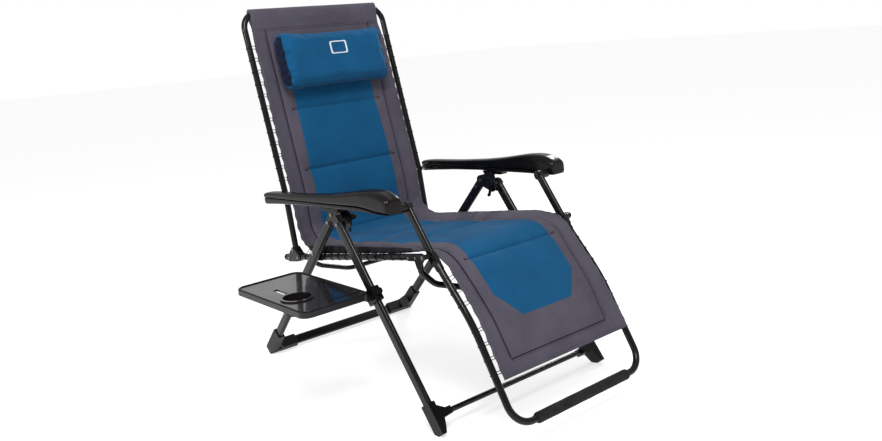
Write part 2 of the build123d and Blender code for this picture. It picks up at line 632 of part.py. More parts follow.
def armrest_base():
    """The left armrest body, with a slot for the rear pin."""
    profile = [on_arm(share * ARM_LENGTH, height) for share, height in ARM_UNDERSIDE]
    profile = profile + [on_arm(ARM_LENGTH, ARM_SEAM), on_arm(0, ARM_SEAM)]
    body = plate(profile, ARM_OUTER - 80, ARM_OUTER + 10) & arm_plan()
    y, z = ARM_REAR_PIVOT
    slot = plate([(y - ARM_SLOT_HALF_Y, z - ARM_SLOT_HALF_Z), (y + ARM_SLOT_HALF_Y, z - ARM_SLOT_HALF_Z),
                  (y + ARM_SLOT_HALF_Y, z + ARM_SLOT_HALF_Z), (y - ARM_SLOT_HALF_Y, z + ARM_SLOT_HALF_Z)],
                 ARM_INNER_REAR - 5, ARM_INNER_REAR + ARM_SLOT_DEPTH)
    return body - slot - cross_rod(ARM_INNER_FRONT - 5, ARM_INNER_FRONT + 24, ARM_FRONT_PIVOT,
                                   PIN_D + 2 * RUN_FIT)


def armrest_pad():
    """The left armrest's top shell, which swells towards the front and rolls over its end."""
    base = ARM_SEAM + TOUCH
    profile = [on_arm(0.012 * ARM_LENGTH, base), on_arm(0.998 * ARM_LENGTH, base)]
    profile = profile + [on_arm(share * ARM_LENGTH, height * ARM_CREST) for share, height in ARM_TOP_SHARES]
    return plate(profile, ARM_OUTER - 80, ARM_OUTER + 10) & arm_plan()


# ---- lock --------------------------------------------------------------------------------------
SLIDER_X = (APEX_OUT + GAP, ARM_OUTER - 8)
SLIDER_DEPTH = 10.5
SLIDER_GAP = 1.4                # the armrest tilts a little as it slides over the block


def slider_block():
    """The left lock slider, which bears under the armrest and turns on the apex bracket."""
    centre = (ARM_REAR_END[0] - SLIDER_PIVOT[0]) / (ARM_REAR_END[0] - ARM_FRONT_END[0])
    top = [on_arm((centre + share) * ARM_LENGTH, arm_under(centre + share) - SLIDER_GAP)
           for share in (-0.07, -0.035, 0.0, 0.035, 0.07)]
    low = [on_arm((centre + share) * ARM_LENGTH, arm_under(centre + share) - SLIDER_GAP - SLIDER_DEPTH)
           for share in (0.062, -0.062)]
    block = plate(top + low, SLIDER_X[0], SLIDER_X[1])
    lug = cross_rod(SLIDER_X[0], SLIDER_X[0] + 10, SLIDER_PIVOT, PIN_D + 4)
    shape = block + lug
    return shape - cross_rod(SLIDER_X[0] - 1, SLIDER_X[0] + 6, SLIDER_PIVOT, PIN_D - 2 + 2 * RUN_FIT)


def slider_pins():
    """The pins of the sliders, fixed in the apex brackets."""
    return both(cross_rod(REAR_LEG_HALF + OVAL_THIN / 2 + TOUCH, SLIDER_X[0] + 5, SLIDER_PIVOT, PIN_D - 2)
                + cross_rod(REAR_LEG_HALF + OVAL_THIN / 2 + TOUCH, APEX_OUT - TOUCH, SLIDER_PIVOT, PIN_D))


def lock_knob():
    """The left lock knob on the inner side of the apex bracket."""
    x1 = APEX_IN - GAP
    knob = cross_rod(x1 - 12, x1, LOCK_KNOB, 18)
    edge = knob.edges().filter_by(GeomType.CIRCLE).sort_by(Axis.X)[0]
    return fillet(edge, 4)


LEVER_LENGTH = 27.0


def lock_lever():
    """The left cam lever that hangs from the fold pin on the inner side of the bracket."""
    x1 = APEX_IN - BOLT_HEAD_T - GAP
    tip = (FOLD_PIVOT[0] + 10, FOLD_PIVOT[1] - LEVER_LENGTH)
    lever = strap_plate([FOLD_PIVOT, tip], 4.5, x1 - 5, x1)
    return lever + cross_rod(x1 - 5, x1, FOLD_PIVOT, 14) + cross_rod(x1 - 7, x1, tip, 11)


# ---- tray --------------------------------------------------------------------------------------
def tray_board():
    """The side tray: a board with a rolled rim, a cup well, a phone slot and a long slot."""
    x0 = -TRAY_INNER - TRAY_WIDTH / 2
    y0 = TRAY_FRONT + TRAY_LENGTH / 2
    sketch = Pos(x0, y0, TRAY_TOP) * RectangleRounded(TRAY_WIDTH, TRAY_LENGTH, TRAY_CORNER)
    shape = extrude(sketch, amount=-TRAY_RIM)
    inside = RectangleRounded(TRAY_WIDTH - 8, TRAY_LENGTH - 8, TRAY_CORNER - 4)
    hollow = Pos(x0, y0, TRAY_TOP - TRAY_T) * inside
    shape = shape - extrude(hollow, amount=-TRAY_RIM)
    x, y = CUP_CENTRE
    well = Pos(x, y, TRAY_TOP - CUP_DEPTH / 2) * Cylinder(CUP_R + 3, CUP_DEPTH)
    shape = shape + well
    shape = shape - Pos(x, y, TRAY_TOP - CUP_DEPTH / 2 + 3) * Cylinder(CUP_R, CUP_DEPTH)
    phone = Pos(x, y + 95, TRAY_TOP) * Box(14, 66, 60)
    long_slot = Pos(-TRAY_INNER - 6 - SLOT_LENGTH / 2, TRAY_FRONT + SLOT_INSET, TRAY_TOP) * Box(
        SLOT_LENGTH, SLOT_WIDTH, 60)
    return shape - phone - long_slot


def tray_cup_ring():
    x, y = CUP_CENTRE
    ring = Pos(x, y, TRAY_TOP + 2 + TOUCH) * Cylinder(CUP_RING_R, 4)
    return ring - Pos(x, y, TRAY_TOP + 2) * Cylinder(CUP_R, 10)


CLAMP_POINT = along(FRONT_FOOT, FOLD_PIVOT, (TRAY_TOP - 22 - FRONT_FOOT[1]) / sin(
    atan2(FOLD_PIVOT[1] - FRONT_FOOT[1], FOLD_PIVOT[0] - FRONT_FOOT[0])))


CLAMP_LENGTH = 44.0
CLAMP_WALL = 4.0


def tray_clamp():
    """The clamp that grips the right front leg and carries the tray on an arm under the board."""
    h = FRONT_LEG_HALF
    inner = h - OVAL_THIN / 2 - CLAMP_WALL
    outer = TRAY_INNER - 2
    foot_end = along(CLAMP_POINT, FOLD_PIVOT, -CLAMP_LENGTH / 2)
    knee_end = along(CLAMP_POINT, FOLD_PIVOT, CLAMP_LENGTH / 2)
    reach = OVAL_WIDE / 2 + CLAMP_WALL + 2
    corners = [(foot_end, reach), (knee_end, reach), (knee_end, -reach), (foot_end, -reach)]
    outline = [aside(CLAMP_POINT, FOLD_PIVOT, end, off) for end, off in corners]
    grip = plate(outline, inner, h + OVAL_THIN / 2 + CLAMP_WALL + 2)
    grip = grip - oval_leg_solid(h, along(CLAMP_POINT, FOLD_PIVOT, 60), along(CLAMP_POINT, FOLD_PIVOT, -60))
    under = TRAY_TOP - TRAY_RIM - TOUCH
    x0 = h + OVAL_THIN / 2 + CLAMP_WALL
    x1 = outer + TRAY_ARM_REACH
    y0 = TRAY_FRONT + SLOT_INSET + SLOT_WIDTH / 2 + 5
    y = y0 + TRAY_ARM_WIDTH / 2
    arm = Pos((x0 + x1) / 2, y, under - TRAY_ARM_T / 2) * Box(x1 - x0, TRAY_ARM_WIDTH, TRAY_ARM_T)
    pad_height = TRAY_RIM - TRAY_T
    block = Box(x1 - outer - 12, TRAY_ARM_WIDTH - 10, pad_height)
    pad = Pos((outer + 12 + x1) / 2, y, under + pad_height / 2) * block
    neck_y0 = CLAMP_POINT[0] - CLAMP_LENGTH / 3
    neck = Pos((x0 + outer + 3) / 2 - 1, (neck_y0 + y) / 2, under - TRAY_ARM_T * 0.75) * Box(
        outer + 3 - x0 + 2, y - neck_y0, TRAY_ARM_T * 1.5)
    arm = arm + neck
    shape = grip + arm + pad - screw_rod(-reach - 20, -OVAL_WIDE / 2 + 2, 6 + 2 * RUN_FIT)
    return mirrored(shape.solids().sort_by(SortBy.VOLUME)[-1])


def screw_rod(start, stop, diameter):
    """A round bar in the clamp, square to the leg, on the left side; negative is in front of the leg."""
    a = aside(CLAMP_POINT, FOLD_PIVOT, CLAMP_POINT, -start)
    b = aside(CLAMP_POINT, FOLD_PIVOT, CLAMP_POINT, -stop)
    return rod(at(FRONT_LEG_HALF, a), at(FRONT_LEG_HALF, b), diameter)


def tray_knob():
    """The clamp's thumbscrew, in front of the leg."""
    reach = OVAL_WIDE / 2 + CLAMP_WALL + 2
    head = screw_rod(-reach - 14, -reach - 2, 20)
    return mirrored(head + screw_rod(-reach - 3, -OVAL_WIDE / 2 - 1, 6))


# ---- pillow ------------------------------------------------------------------------------------
def pillow():
    """The head pillow in front of the back panel."""
    gap = SLING_T / 2 + 3
    corners = [on_back(PILLOW_LOW, gap), on_back(PILLOW_HIGH, gap), on_back(PILLOW_HIGH - 8, gap + PILLOW_T),
               on_back(PILLOW_LOW + 8, gap + PILLOW_T)]
    block = plate(corners, -PILLOW_HALF, PILLOW_HALF)
    return fillet(block.edges().filter_by(Axis.X), 16)


def pillow_strips():
    """The two hook strips sewn to the rear of the pillow, which hold it to the back panel."""
    near = SLING_T / 2 + GAP
    far = SLING_T / 2 + 3 - TOUCH
    shape = None
    for low in (PILLOW_LOW + 34, PILLOW_HIGH - 59):
        corners = [on_back(low, near), on_back(low + 25, near), on_back(low + 25, far), on_back(low, far)]
        strip = plate(corners, -PILLOW_HALF + 40, PILLOW_HALF - 40)
        shape = strip if shape is None else shape + strip
    return shape


# ---- lacing ------------------------------------------------------------------------------------
LACE_D = 4.0


def laces(points, x_in, x_out):
    """Short elastic loops from the edge of the sling to the tube beside it, on both sides."""
    return both(Compound(children=[cross_rod(x_in + TOUCH, x_out - TOUCH, p, LACE_D) for p in points]))


def back_lacing():
    points = [on_back(s, 0) for s in range(-70, 520, 42)]
    return laces(points[2:], SLING_HALF_BACK, SEAT_HALF - TUBE_OD / 2)


def seat_lacing():
    points = [on_rail(s, 1) for s in range(60, 600, 42)]
    return laces(points, SLING_HALF_SEAT, SEAT_HALF - TUBE_OD / 2)


# ---- write -------------------------------------------------------------------------------------
def nodes():
    pairs = {
        "rear_foot_cap": rear_foot_cap(), "apex_bracket": apex_bracket(),
        "front_leg": front_leg(), "front_foot_cap": front_foot_cap(),
        "seat_rail": seat_rail(), "rear_hinge_bracket": rear_hinge_bracket(),
        "front_hinge_bracket": front_hinge_bracket(), "seat_pivot_bracket": seat_pivot_bracket(),
        "upper_link": upper_link(), "armrest_base": armrest_base(), "armrest_pad": armrest_pad(),
        "slider_block": slider_block(), "lock_knob": lock_knob(), "lock_lever": lock_lever(),
    }
    single = {
        "rear_leg_frame": rear_leg_frame(), "apex_bolts": apex_bolts(), "fold_pins": fold_pins(),
        "slider_pins": slider_pins(), "seat_pins": seat_pins(),
        "front_crossbar": front_crossbar(), "rail_plugs": rail_plugs(), "rail_bolts": rail_bolts(),
        "knee_spreader": knee_spreader(),
        "rear_spreader": rear_spreader(),
        "seat_sling": seat_sling(), "back_frame": back_frame(), "back_pins": back_pins(),
        "arm_rear_pins": arm_rear_pins(), "back_sling": back_sling(), "back_lacing": back_lacing(),
        "seat_lacing": seat_lacing(),
        "legrest_frame": legrest_frame(), "knee_pins": knee_pins(), "arm_front_pins": arm_front_pins(),
        "foot_bar_sleeve": foot_bar_sleeve(), "legrest_sling": legrest_sling(),
        "tray_board": tray_board(), "tray_cup_ring": tray_cup_ring(), "tray_clamp": tray_clamp(),
        "tray_knob": tray_knob(), "pillow": pillow(), "pillow_strips": pillow_strips(),
    }
    for name, shape in pairs.items():
        single[name + "_left"] = shape
        single[name + "_right"] = mirrored(shape)
    return single


os.makedirs("parts", exist_ok=True)
for node, shape in nodes().items():
    export_step(shape, f"parts/{node}.step")
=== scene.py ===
import bpy
import bmesh
import json
from math import cos, exp, hypot, pi, radians, sin, sqrt
from mathutils import Matrix, Vector, noise


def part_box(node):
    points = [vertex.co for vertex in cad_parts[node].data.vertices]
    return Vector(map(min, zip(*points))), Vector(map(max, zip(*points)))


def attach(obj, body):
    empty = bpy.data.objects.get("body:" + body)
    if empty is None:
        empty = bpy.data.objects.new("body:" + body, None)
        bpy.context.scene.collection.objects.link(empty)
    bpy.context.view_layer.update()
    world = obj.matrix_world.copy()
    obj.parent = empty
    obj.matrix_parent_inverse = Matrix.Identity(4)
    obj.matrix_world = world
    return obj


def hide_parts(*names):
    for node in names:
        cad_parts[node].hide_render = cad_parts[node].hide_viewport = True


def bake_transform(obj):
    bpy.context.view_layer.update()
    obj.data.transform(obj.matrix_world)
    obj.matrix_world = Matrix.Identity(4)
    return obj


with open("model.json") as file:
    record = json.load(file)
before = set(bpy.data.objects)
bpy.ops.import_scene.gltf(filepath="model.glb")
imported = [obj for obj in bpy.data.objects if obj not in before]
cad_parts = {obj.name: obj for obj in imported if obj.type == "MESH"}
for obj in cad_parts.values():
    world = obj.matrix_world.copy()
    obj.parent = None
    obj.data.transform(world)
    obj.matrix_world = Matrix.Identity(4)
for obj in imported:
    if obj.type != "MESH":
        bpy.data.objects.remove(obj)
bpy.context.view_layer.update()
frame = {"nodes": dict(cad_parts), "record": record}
NODES = frame["nodes"]


# ---- materials --------------------------------------------------------------------------------
class Shader:
    """A material and a few short ways to wire its nodes."""

    def __init__(self, name, color, rough, metallic=0.0, specular=0.5):
        self.mat = bpy.data.materials.new(name)
        self.mat.use_nodes = True
        self.mat.diffuse_color = (*color, 1)
        self.nodes = self.mat.node_tree.nodes
        self.links = self.mat.node_tree.links
        self.bsdf = self.nodes["Principled BSDF"]
        self.bsdf.inputs["Base Color"].default_value = (*color, 1)
        self.bsdf.inputs["Roughness"].default_value = rough
        self.bsdf.inputs["Metallic"].default_value = metallic
        self.bsdf.inputs["Specular IOR Level"].default_value = specular
        self.coords = self.nodes.new("ShaderNodeTexCoord")

    def noise(self, scale, detail=3.0, rough=0.55, source="Object", stretch=None):
        vector = self.coords.outputs[source]
        if stretch:
            mapping = self.nodes.new("ShaderNodeMapping")
            mapping.inputs["Scale"].default_value = stretch
            self.links.new(vector, mapping.inputs["Vector"])
            vector = mapping.outputs["Vector"]
        node = self.nodes.new("ShaderNodeTexNoise")
        node.inputs["Scale"].default_value = scale
        node.inputs["Detail"].default_value = detail
        node.inputs["Roughness"].default_value = rough
        self.links.new(vector, node.inputs["Vector"])
        return node.outputs["Fac"]

    def wave(self, scale, direction, source="UV", distortion=0.0):
        node = self.nodes.new("ShaderNodeTexWave")
        node.bands_direction = direction
        node.inputs["Scale"].default_value = scale
        node.inputs["Distortion"].default_value = distortion
        self.links.new(self.coords.outputs[source], node.inputs["Vector"])
        return node.outputs["Fac"]

    def ramp(self, fac, low, high, a=0.0, b=1.0):
        node = self.nodes.new("ShaderNodeMapRange")
        node.inputs["From Min"].default_value = a
        node.inputs["From Max"].default_value = b
        node.inputs["To Min"].default_value = low
        node.inputs["To Max"].default_value = high
        self.links.new(fac, node.inputs["Value"])
        return node.outputs["Result"]

    def math(self, operation, a, b):
        node = self.nodes.new("ShaderNodeMath")
        node.operation = operation
        for i, value in enumerate((a, b)):
            if isinstance(value, (int, float)):
                node.inputs[i].default_value = value
            else:
                self.links.new(value, node.inputs[i])
        return node.outputs["Value"]

    def mix(self, fac, a, b):
        node = self.nodes.new("ShaderNodeMix")
        node.data_type = "RGBA"
        for socket, value in ((6, a), (7, b)):
            if isinstance(value, tuple):
                node.inputs[socket].default_value = (*value, 1)
            else:
                self.links.new(value, node.inputs[socket])
        self.links.new(fac, node.inputs[0])
        return node.outputs[2]

    def bump(self, height, distance, strength=1.0):
        node = self.nodes.new("ShaderNodeBump")
        node.inputs["Strength"].default_value = strength
        node.inputs["Distance"].default_value = distance
        self.links.new(height, node.inputs["Height"])
        self.links.new(node.outputs["Normal"], self.bsdf.inputs["Normal"])

    def color(self, socket):
        self.links.new(socket, self.bsdf.inputs["Base Color"])

    def rough(self, socket):
        self.links.new(socket, self.bsdf.inputs["Roughness"])


def painted(name, color, rough, wear=(0.045, 0.044, 0.046)):
    """Powder-coated steel: fine orange peel, patchy gloss and slightly worn edges."""
    s = Shader(name, color, rough, 0.0, 0.16)
    s.bsdf.inputs["Coat Weight"].default_value = 0.20
    s.bsdf.inputs["Coat Roughness"].default_value = 0.10
    patches = s.noise(14, 4)
    s.rough(s.ramp(patches, rough - 0.07, rough + 0.10, 0.3, 0.7))
    geometry = s.nodes.new("ShaderNodeNewGeometry")
    edge = s.ramp(geometry.outputs["Pointiness"], 0.0, 0.6, 0.53, 0.62)
    speck = s.ramp(s.noise(160, 5), 0.0, 1.0, 0.45, 0.75)
    s.color(s.mix(s.math("MULTIPLY", edge, speck), color, wear))
    s.bump(s.noise(900, 2), 0.00012, 0.5)
    return s.mat


def moulded(name, color, rough, grain, depth, specular=0.3, coat=0.0):
    """Moulded plastic with a fine grain and soft gloss."""
    s = Shader(name, color, rough, 0.0, specular)
    s.bsdf.inputs["Coat Weight"].default_value = coat
    s.bsdf.inputs["Coat Roughness"].default_value = 0.06
    s.rough(s.ramp(s.noise(9, 4), rough - 0.05, rough + 0.09, 0.3, 0.7))
    lighter = tuple(c * 1.5 + 0.002 for c in color)
    s.color(s.mix(s.ramp(s.noise(26, 3), 0.0, 0.6, 0.45, 0.7), color, lighter))
    s.bump(s.noise(grain, 3), depth, 0.6)
    return s.mat


def woven(name, dark, light, rough=0.9, source="UV", pitch=0.0016, sheen=0.04):
    """Woven polyester: crossing threads, heathered colour and a little sheen."""
    s = Shader(name, light, rough, 0.0, 0.12)
    s.bsdf.inputs["Sheen Weight"].default_value = sheen
    s.bsdf.inputs["Sheen Roughness"].default_value = 0.5
    k = 2 * pi / (20 * pitch)
    warp = s.wave(k, "X", source)
    weft = s.wave(k, "Y", source)
    cloth = s.math("MULTIPLY", warp, weft)
    fleck = s.noise(620, 2, 0.6, source, (1.0, 0.35, 1.0))
    broad = s.noise(9, 3, 0.5, source)
    tone = s.math("ADD", s.math("MULTIPLY", fleck, 0.62), s.math("MULTIPLY", broad, 0.38))
    shade = s.ramp(s.math("ADD", tone, s.math("MULTIPLY", cloth, 0.12)), 0.0, 1.0, 0.36, 0.72)
    s.color(s.mix(shade, dark, light))
    s.rough(s.ramp(fleck, rough - 0.08, rough + 0.06, 0.3, 0.7))
    s.bump(s.math("ADD", cloth, s.math("MULTIPLY", fleck, 0.6)), 0.00035, 0.55)
    return s.mat


def webbing(name, color, pitch=0.0022):
    s = Shader(name, color, 0.8, 0.0, 0.3)
    k = 2 * pi / (20 * pitch)
    ribs = s.wave(k, "X", "Object")
    cross = s.wave(k, "Z", "Object")
    lighter = tuple(c * 1.8 + 0.006 for c in color)
    s.color(s.mix(s.math("MULTIPLY", ribs, cross), color, lighter))
    s.bump(s.math("ADD", ribs, cross), 0.0003, 0.6)
    return s.mat


def glossy_top(name, color):
    """Moulding with a polished upper face and satin sides."""
    s = Shader(name, color, 0.3, 0.0, 0.3)
    s.bsdf.inputs["Coat IOR"].default_value = 2.3
    s.bsdf.inputs["Coat Roughness"].default_value = 0.07
    facing = s.nodes.new("ShaderNodeSeparateXYZ")
    s.links.new(s.coords.outputs["Normal"], facing.inputs["Vector"])
    s.links.new(s.ramp(facing.outputs["Z"], 0.0, 1.0, 0.9, 0.98), s.bsdf.inputs["Coat Weight"])
    s.rough(s.ramp(s.noise(9, 4), 0.22, 0.38, 0.3, 0.7))
    s.color(s.mix(s.ramp(s.noise(30, 3), 0.0, 0.6, 0.45, 0.7), color, tuple(c * 1.6 for c in color)))
    s.bump(s.noise(1400, 3), 0.00003, 0.6)
    return s.mat


def steel(name, color, rough):
    s = Shader(name, color, rough, 0.9, 0.5)
    s.rough(s.ramp(s.noise(60, 4), rough - 0.08, rough + 0.14, 0.3, 0.7))
    s.color(s.mix(s.ramp(s.noise(220, 4), 0.0, 1.0, 0.4, 0.7), color, tuple(c * 0.55 for c in color)))
    s.bump(s.noise(700, 2), 0.00008, 0.4)
    return s.mat


def foamed(name, color):
    s = Shader(name, color, 0.9, 0.0, 0.3)
    cells = s.nodes.new("ShaderNodeTexVoronoi")
    cells.inputs["Scale"].default_value = 700
    s.links.new(s.coords.outputs["Object"], cells.inputs["Vector"])
    s.color(s.mix(s.ramp(s.noise(40, 3), 0.0, 1.0, 0.35, 0.7), color, tuple(c * 2.2 for c in color)))
    s.bump(cells.outputs["Distance"], 0.0006, 0.8)
    return s.mat


MAT = {
    "frame": painted("black_powder_coat", (0.0026, 0.0022, 0.0028), 0.24),
    "bracket": painted("black_bracket_coat", (0.0030, 0.0026, 0.0031), 0.30),
    "bolt": steel("bright_zinc", (0.26, 0.25, 0.25), 0.28),
    "plastic": moulded("black_moulding", (0.0034, 0.0028, 0.0032), 0.36, 1100, 0.00012, 0.2),
    "arm": moulded("armrest_moulding", (0.0030, 0.0016, 0.0020), 0.26, 1500, 0.00006, 0.12, 0.20),
    "tray": glossy_top("tray_moulding", (0.0075, 0.0058, 0.0075)),
    "blue": woven("blue_weave", (0.0020, 0.050, 0.125), (0.0045, 0.082, 0.195)),
    "grey": woven("grey_weave", (0.050, 0.045, 0.062), (0.092, 0.084, 0.112)),
    # This dark underside colour is painted shade: it stands for the shadow under the sling and on the seat's
    # turned-down edges.
    "underside_painted_shade": woven("underside_painted_shade_weave", (0.010, 0.010, 0.013), (0.022, 0.021, 0.027)),
    "navy": woven("navy_weave", (0.0022, 0.0045, 0.015), (0.0050, 0.0105, 0.030), source="Object"),
    "pillow": woven("pillow_weave", (0.0020, 0.048, 0.122), (0.0045, 0.080, 0.190), source="Object"),
    "thread": moulded("dark_thread", (0.0075, 0.006, 0.012), 0.8, 2500, 0.0001, 0.1),
    "tack": moulded("maroon_tack", (0.030, 0.020, 0.026), 0.8, 2500, 0.0001, 0.1),
    "elastic": webbing("black_elastic", (0.004, 0.004, 0.005)),
    "foam": foamed("black_foam", (0.006, 0.0058, 0.0065)),
    "label": woven("plain_label", (0.45, 0.50, 0.55), (0.62, 0.66, 0.70), source="Object", pitch=0.0012),
}
FINISH = {"frame_tube": "frame", "bracket_steel": "bracket", "bolt_steel": "bolt", "black_plastic": "plastic",
          "arm_plastic": "arm", "tray_plastic": "tray", "elastic": "elastic", "foam": "foam",
          "grey_fabric": "grey", "blue_fabric": "blue"}
for part in frame["record"]["subparts"]:
    node = NODES[part["node"]]
    for index in range(max(1, len(node.material_slots))):
        if not node.material_slots:
            node.data.materials.append(MAT[FINISH[part["material_slot"]]])
        node.material_slots[index].material = MAT[FINISH[part["material_slot"]]]

NODES["arm_front_pins"].material_slots[0].material = MAT["bracket"]


# ---- mesh helpers -----------------------------------------------------------------------------
def new_piece(name, bm, materials, smooth=True):
    mesh = bpy.data.meshes.new(name)
    bm.normal_update()
    bm.to_mesh(mesh)
    bm.free()
    for m in materials:
        mesh.materials.append(MAT[m])
    if smooth:
        mesh.shade_smooth()
    obj = bpy.data.objects.new(name, mesh)
    bpy.context.scene.collection.objects.link(obj)
    return obj


def add_modifier(obj, kind, **values):
    mod = obj.modifiers.new(kind.lower(), kind)
    for key, value in values.items():
        setattr(mod, key, value)
    return mod


def apply_all(obj):
    """Bakes the object's modifiers into its mesh."""
    graph = bpy.context.evaluated_depsgraph_get()
    mesh = bpy.data.meshes.new_from_object(obj.evaluated_get(graph))
    obj.modifiers.clear()
    obj.data = mesh
    return obj


def tube_along(bm, points, radius, sides=8, material=0, closed=False):
    """Adds a round tube that follows the points."""
    rings = []
    n = len(points)
    up = None
    for i, p in enumerate(points):
        a = points[i - 1] if (i > 0 or closed) else points[i]
        b = points[(i + 1) % n] if (i < n - 1 or closed) else points[i]
        t = (b - a).normalized()
        if up is None:
            up = t.orthogonal().normalized()
        up = (up - t * up.dot(t)).normalized()
        side = t.cross(up)
        turns = [2 * pi * k / sides for k in range(sides)]
        rings.append([bm.verts.new(p + (up * cos(w) + side * sin(w)) * radius) for w in turns])
    pairs = list(zip(rings, rings[1:])) + ([(rings[-1], rings[0])] if closed else [])
    for r0, r1 in pairs:
        for k in range(sides):
            f = bm.faces.new((r0[k], r0[(k + 1) % sides], r1[(k + 1) % sides], r1[k]))
            f.material_index = material
    if not closed:
        bm.faces.new(rings[0][::-1]).material_index = material
        bm.faces.new(rings[-1]).material_index = material


def smooth_step(a, b, x):
    t = min(1.0, max(0.0, (x - a) / (b - a)))
    return t * t * (3 - 2 * t)


def lerp_table(table, x):
    """Straight interpolation in a short table of (x, value)."""
    if x <= table[0][0]:
        return table[0][1]
    for (a, va), (b, vb) in zip(table, table[1:]):
        if x <= b:
            return va + (vb - va) * (x - a) / (b - a)
    return table[-1][1]


# ---- side line of the sling -------------------------------------------------------------------
KNEE_HINGE = (-0.429, 0.488)
ARM_REAR = (0.292, 0.588)
ARM_FRONT = (-0.341, 0.614)
BACK_TOP = (0.442, 1.188)
BACK_FOOT = (0.2677, 0.4015)
KNEE_BEND = (-0.574, 0.321054)
FOOT_BAR = (-0.715, 0.069)
RAIL_REAR = (0.269, 0.3845)
SEAT_HALF, LEG_HALF, TUBE_R = 0.283, 0.262, 0.010
LACE_PITCH = 0.0405


def unit(a, b):
    length = hypot(b[0] - a[0], b[1] - a[1])
    return ((b[0] - a[0]) / length, (b[1] - a[1]) / length)


def shifted(p, d, distance):
    """p moved square to d, to the sitter's side of a line that runs from the head to the foot."""
    return (p[0] + d[1] * distance, p[1] - d[0] * distance)


def meet(p, d, q, e):
    det = d[0] * -e[1] + e[0] * d[1]
    t = ((q[0] - p[0]) * -e[1] + e[0] * (q[1] - p[1])) / det
    return (p[0] + d[0] * t, p[1] + d[1] * t)


LEG_LIFT = 0.009
SEAT_P = (0.110, 0.426)
SEAT_Q = (-0.357, 0.481)
D_BACK = unit(BACK_TOP, ARM_REAR)
D_LOW = unit(ARM_REAR, BACK_FOOT)
D_SEAT = unit(SEAT_P, SEAT_Q)
D_LEG = unit(KNEE_HINGE, KNEE_BEND)
D_SHIN = unit(KNEE_BEND, FOOT_BAR)
LEG_P = shifted(KNEE_HINGE, D_LEG, LEG_LIFT)
SHIN_P = shifted(KNEE_BEND, D_SHIN, LEG_LIFT)
HEM = (SHIN_P[0] + D_SHIN[0] * 0.166, SHIN_P[1] + D_SHIN[1] * 0.166)
CORNERS = [BACK_TOP, ARM_REAR, meet(ARM_REAR, D_LOW, SEAT_P, D_SEAT), meet(SEAT_P, D_SEAT, LEG_P, D_LEG),
           meet(LEG_P, D_LEG, SHIN_P, D_SHIN), HEM]
RADII = [0.5, 0.085, 0.115, 0.42]


def fillet_line(corners, radii, step=0.0015):
    """Dense points along straight runs joined by arcs."""
    out = [Vector(corners[0])]
    for i, radius in enumerate(radii):
        p = Vector(corners[i + 1])
        a = (Vector(corners[i]) - p).normalized()
        b = (Vector(corners[i + 2]) - p).normalized()
        half = a.angle(b) / 2
        reach = radius / (sin(half) / cos(half))
        start = p + a * reach
        end = p + b * reach
        centre = p + (a + b).normalized() * (radius / sin(half))
        u = start - centre
        sweep = pi - 2 * half
        sign = 1 if (u.x * (end - centre).y - u.y * (end - centre).x) > 0 else -1
        for k in range(41):
            w = sign * sweep * k / 40
            out.append(centre + Vector((u.x * cos(w) - u.y * sin(w), u.x * sin(w) + u.y * cos(w))))
    out.append(Vector(corners[-1]))
    dense = [out[0]]
    for a, b in zip(out, out[1:]):
        n = max(1, int((b - a).length / step))
        dense += [a.lerp(b, (k + 1) / n) for k in range(n)]
    return dense


LINE = fillet_line(CORNERS, RADII)
RUN = [0.0]
for p0, p1 in zip(LINE, LINE[1:]):
    RUN.append(RUN[-1] + (p1 - p0).length)
LENGTH = RUN[-1]


def line_at(s):
    """Point and sitter-side normal at a distance from the head end."""
    s = min(max(s, 0.0), LENGTH - 1e-6)
    lo, hi = 0, len(RUN) - 1
    while hi - lo > 1:
        mid = (lo + hi) // 2
        if RUN[mid] <= s:
            lo = mid
        else:
            hi = mid
    t = (s - RUN[lo]) / (RUN[hi] - RUN[lo])
    p = LINE[lo].lerp(LINE[hi], t)
    a = LINE[max(0, lo - 3)]
    b = LINE[min(len(LINE) - 1, hi + 3)]
    d = (b - a).normalized()
    return p, Vector((d.y, -d.x))


def run_of(y, z):
    """Distance along the sling of the place nearest to a side point."""
    q = Vector((y, z))
    best = min(range(len(LINE)), key=lambda i: (LINE[i] - q).length_squared)
    return RUN[best]


def seat_z(y):
    return SEAT_P[1] + (y - SEAT_P[0]) * D_SEAT[1] / D_SEAT[0]


def leg_point(distance):
    """Side point a distance down the leg rest from the knee hinge, on the sling's line."""
    p = (KNEE_HINGE[0] + D_LEG[0] * distance, KNEE_HINGE[1] + D_LEG[1] * distance)
    return shifted(p, D_LEG, LEG_LIFT)


S_BLUE_TOP = 0.17
S_KNEE = run_of(*leg_point(0.0))
S_HEX = S_KNEE + 0.163
S_HEX_END = S_KNEE + 0.241
S_BOTTOM_STITCH = LENGTH - 0.043
S_SEAT_START = run_of(0.20, seat_z(0.20))
S_SPLIT = run_of(-0.05, seat_z(-0.05))
S_BACK_END = run_of(0.272, 0.47)
CHANNELS = [run_of(0.361, 0.863), run_of(0.310, 0.660), run_of(0.275, 0.430),
            run_of(0.06, seat_z(0.06)), run_of(-0.165, seat_z(-0.165)),
            run_of(*leg_point(0.046))]
SLEEVE_SEAM = 0.056


def half_width(s):
    base = lerp_table([(0.0, 0.255), (0.05, 0.255), (0.13, 0.264), (S_BACK_END - 0.10, 0.2675),
                       (S_BACK_END, 0.266), (S_SEAT_START, 0.278), (S_KNEE - 0.12, 0.279),
                       (S_KNEE - 0.05, 0.262), (S_KNEE + 0.05, 0.247), (LENGTH - 0.15, 0.249),
                       (LENGTH, 0.254)], s)
    scallop = 0.0028 * (0.5 - 0.5 * cos(2 * pi * s / LACE_PITCH))
    return base - scallop * smooth_step(0.08, 0.16, s)


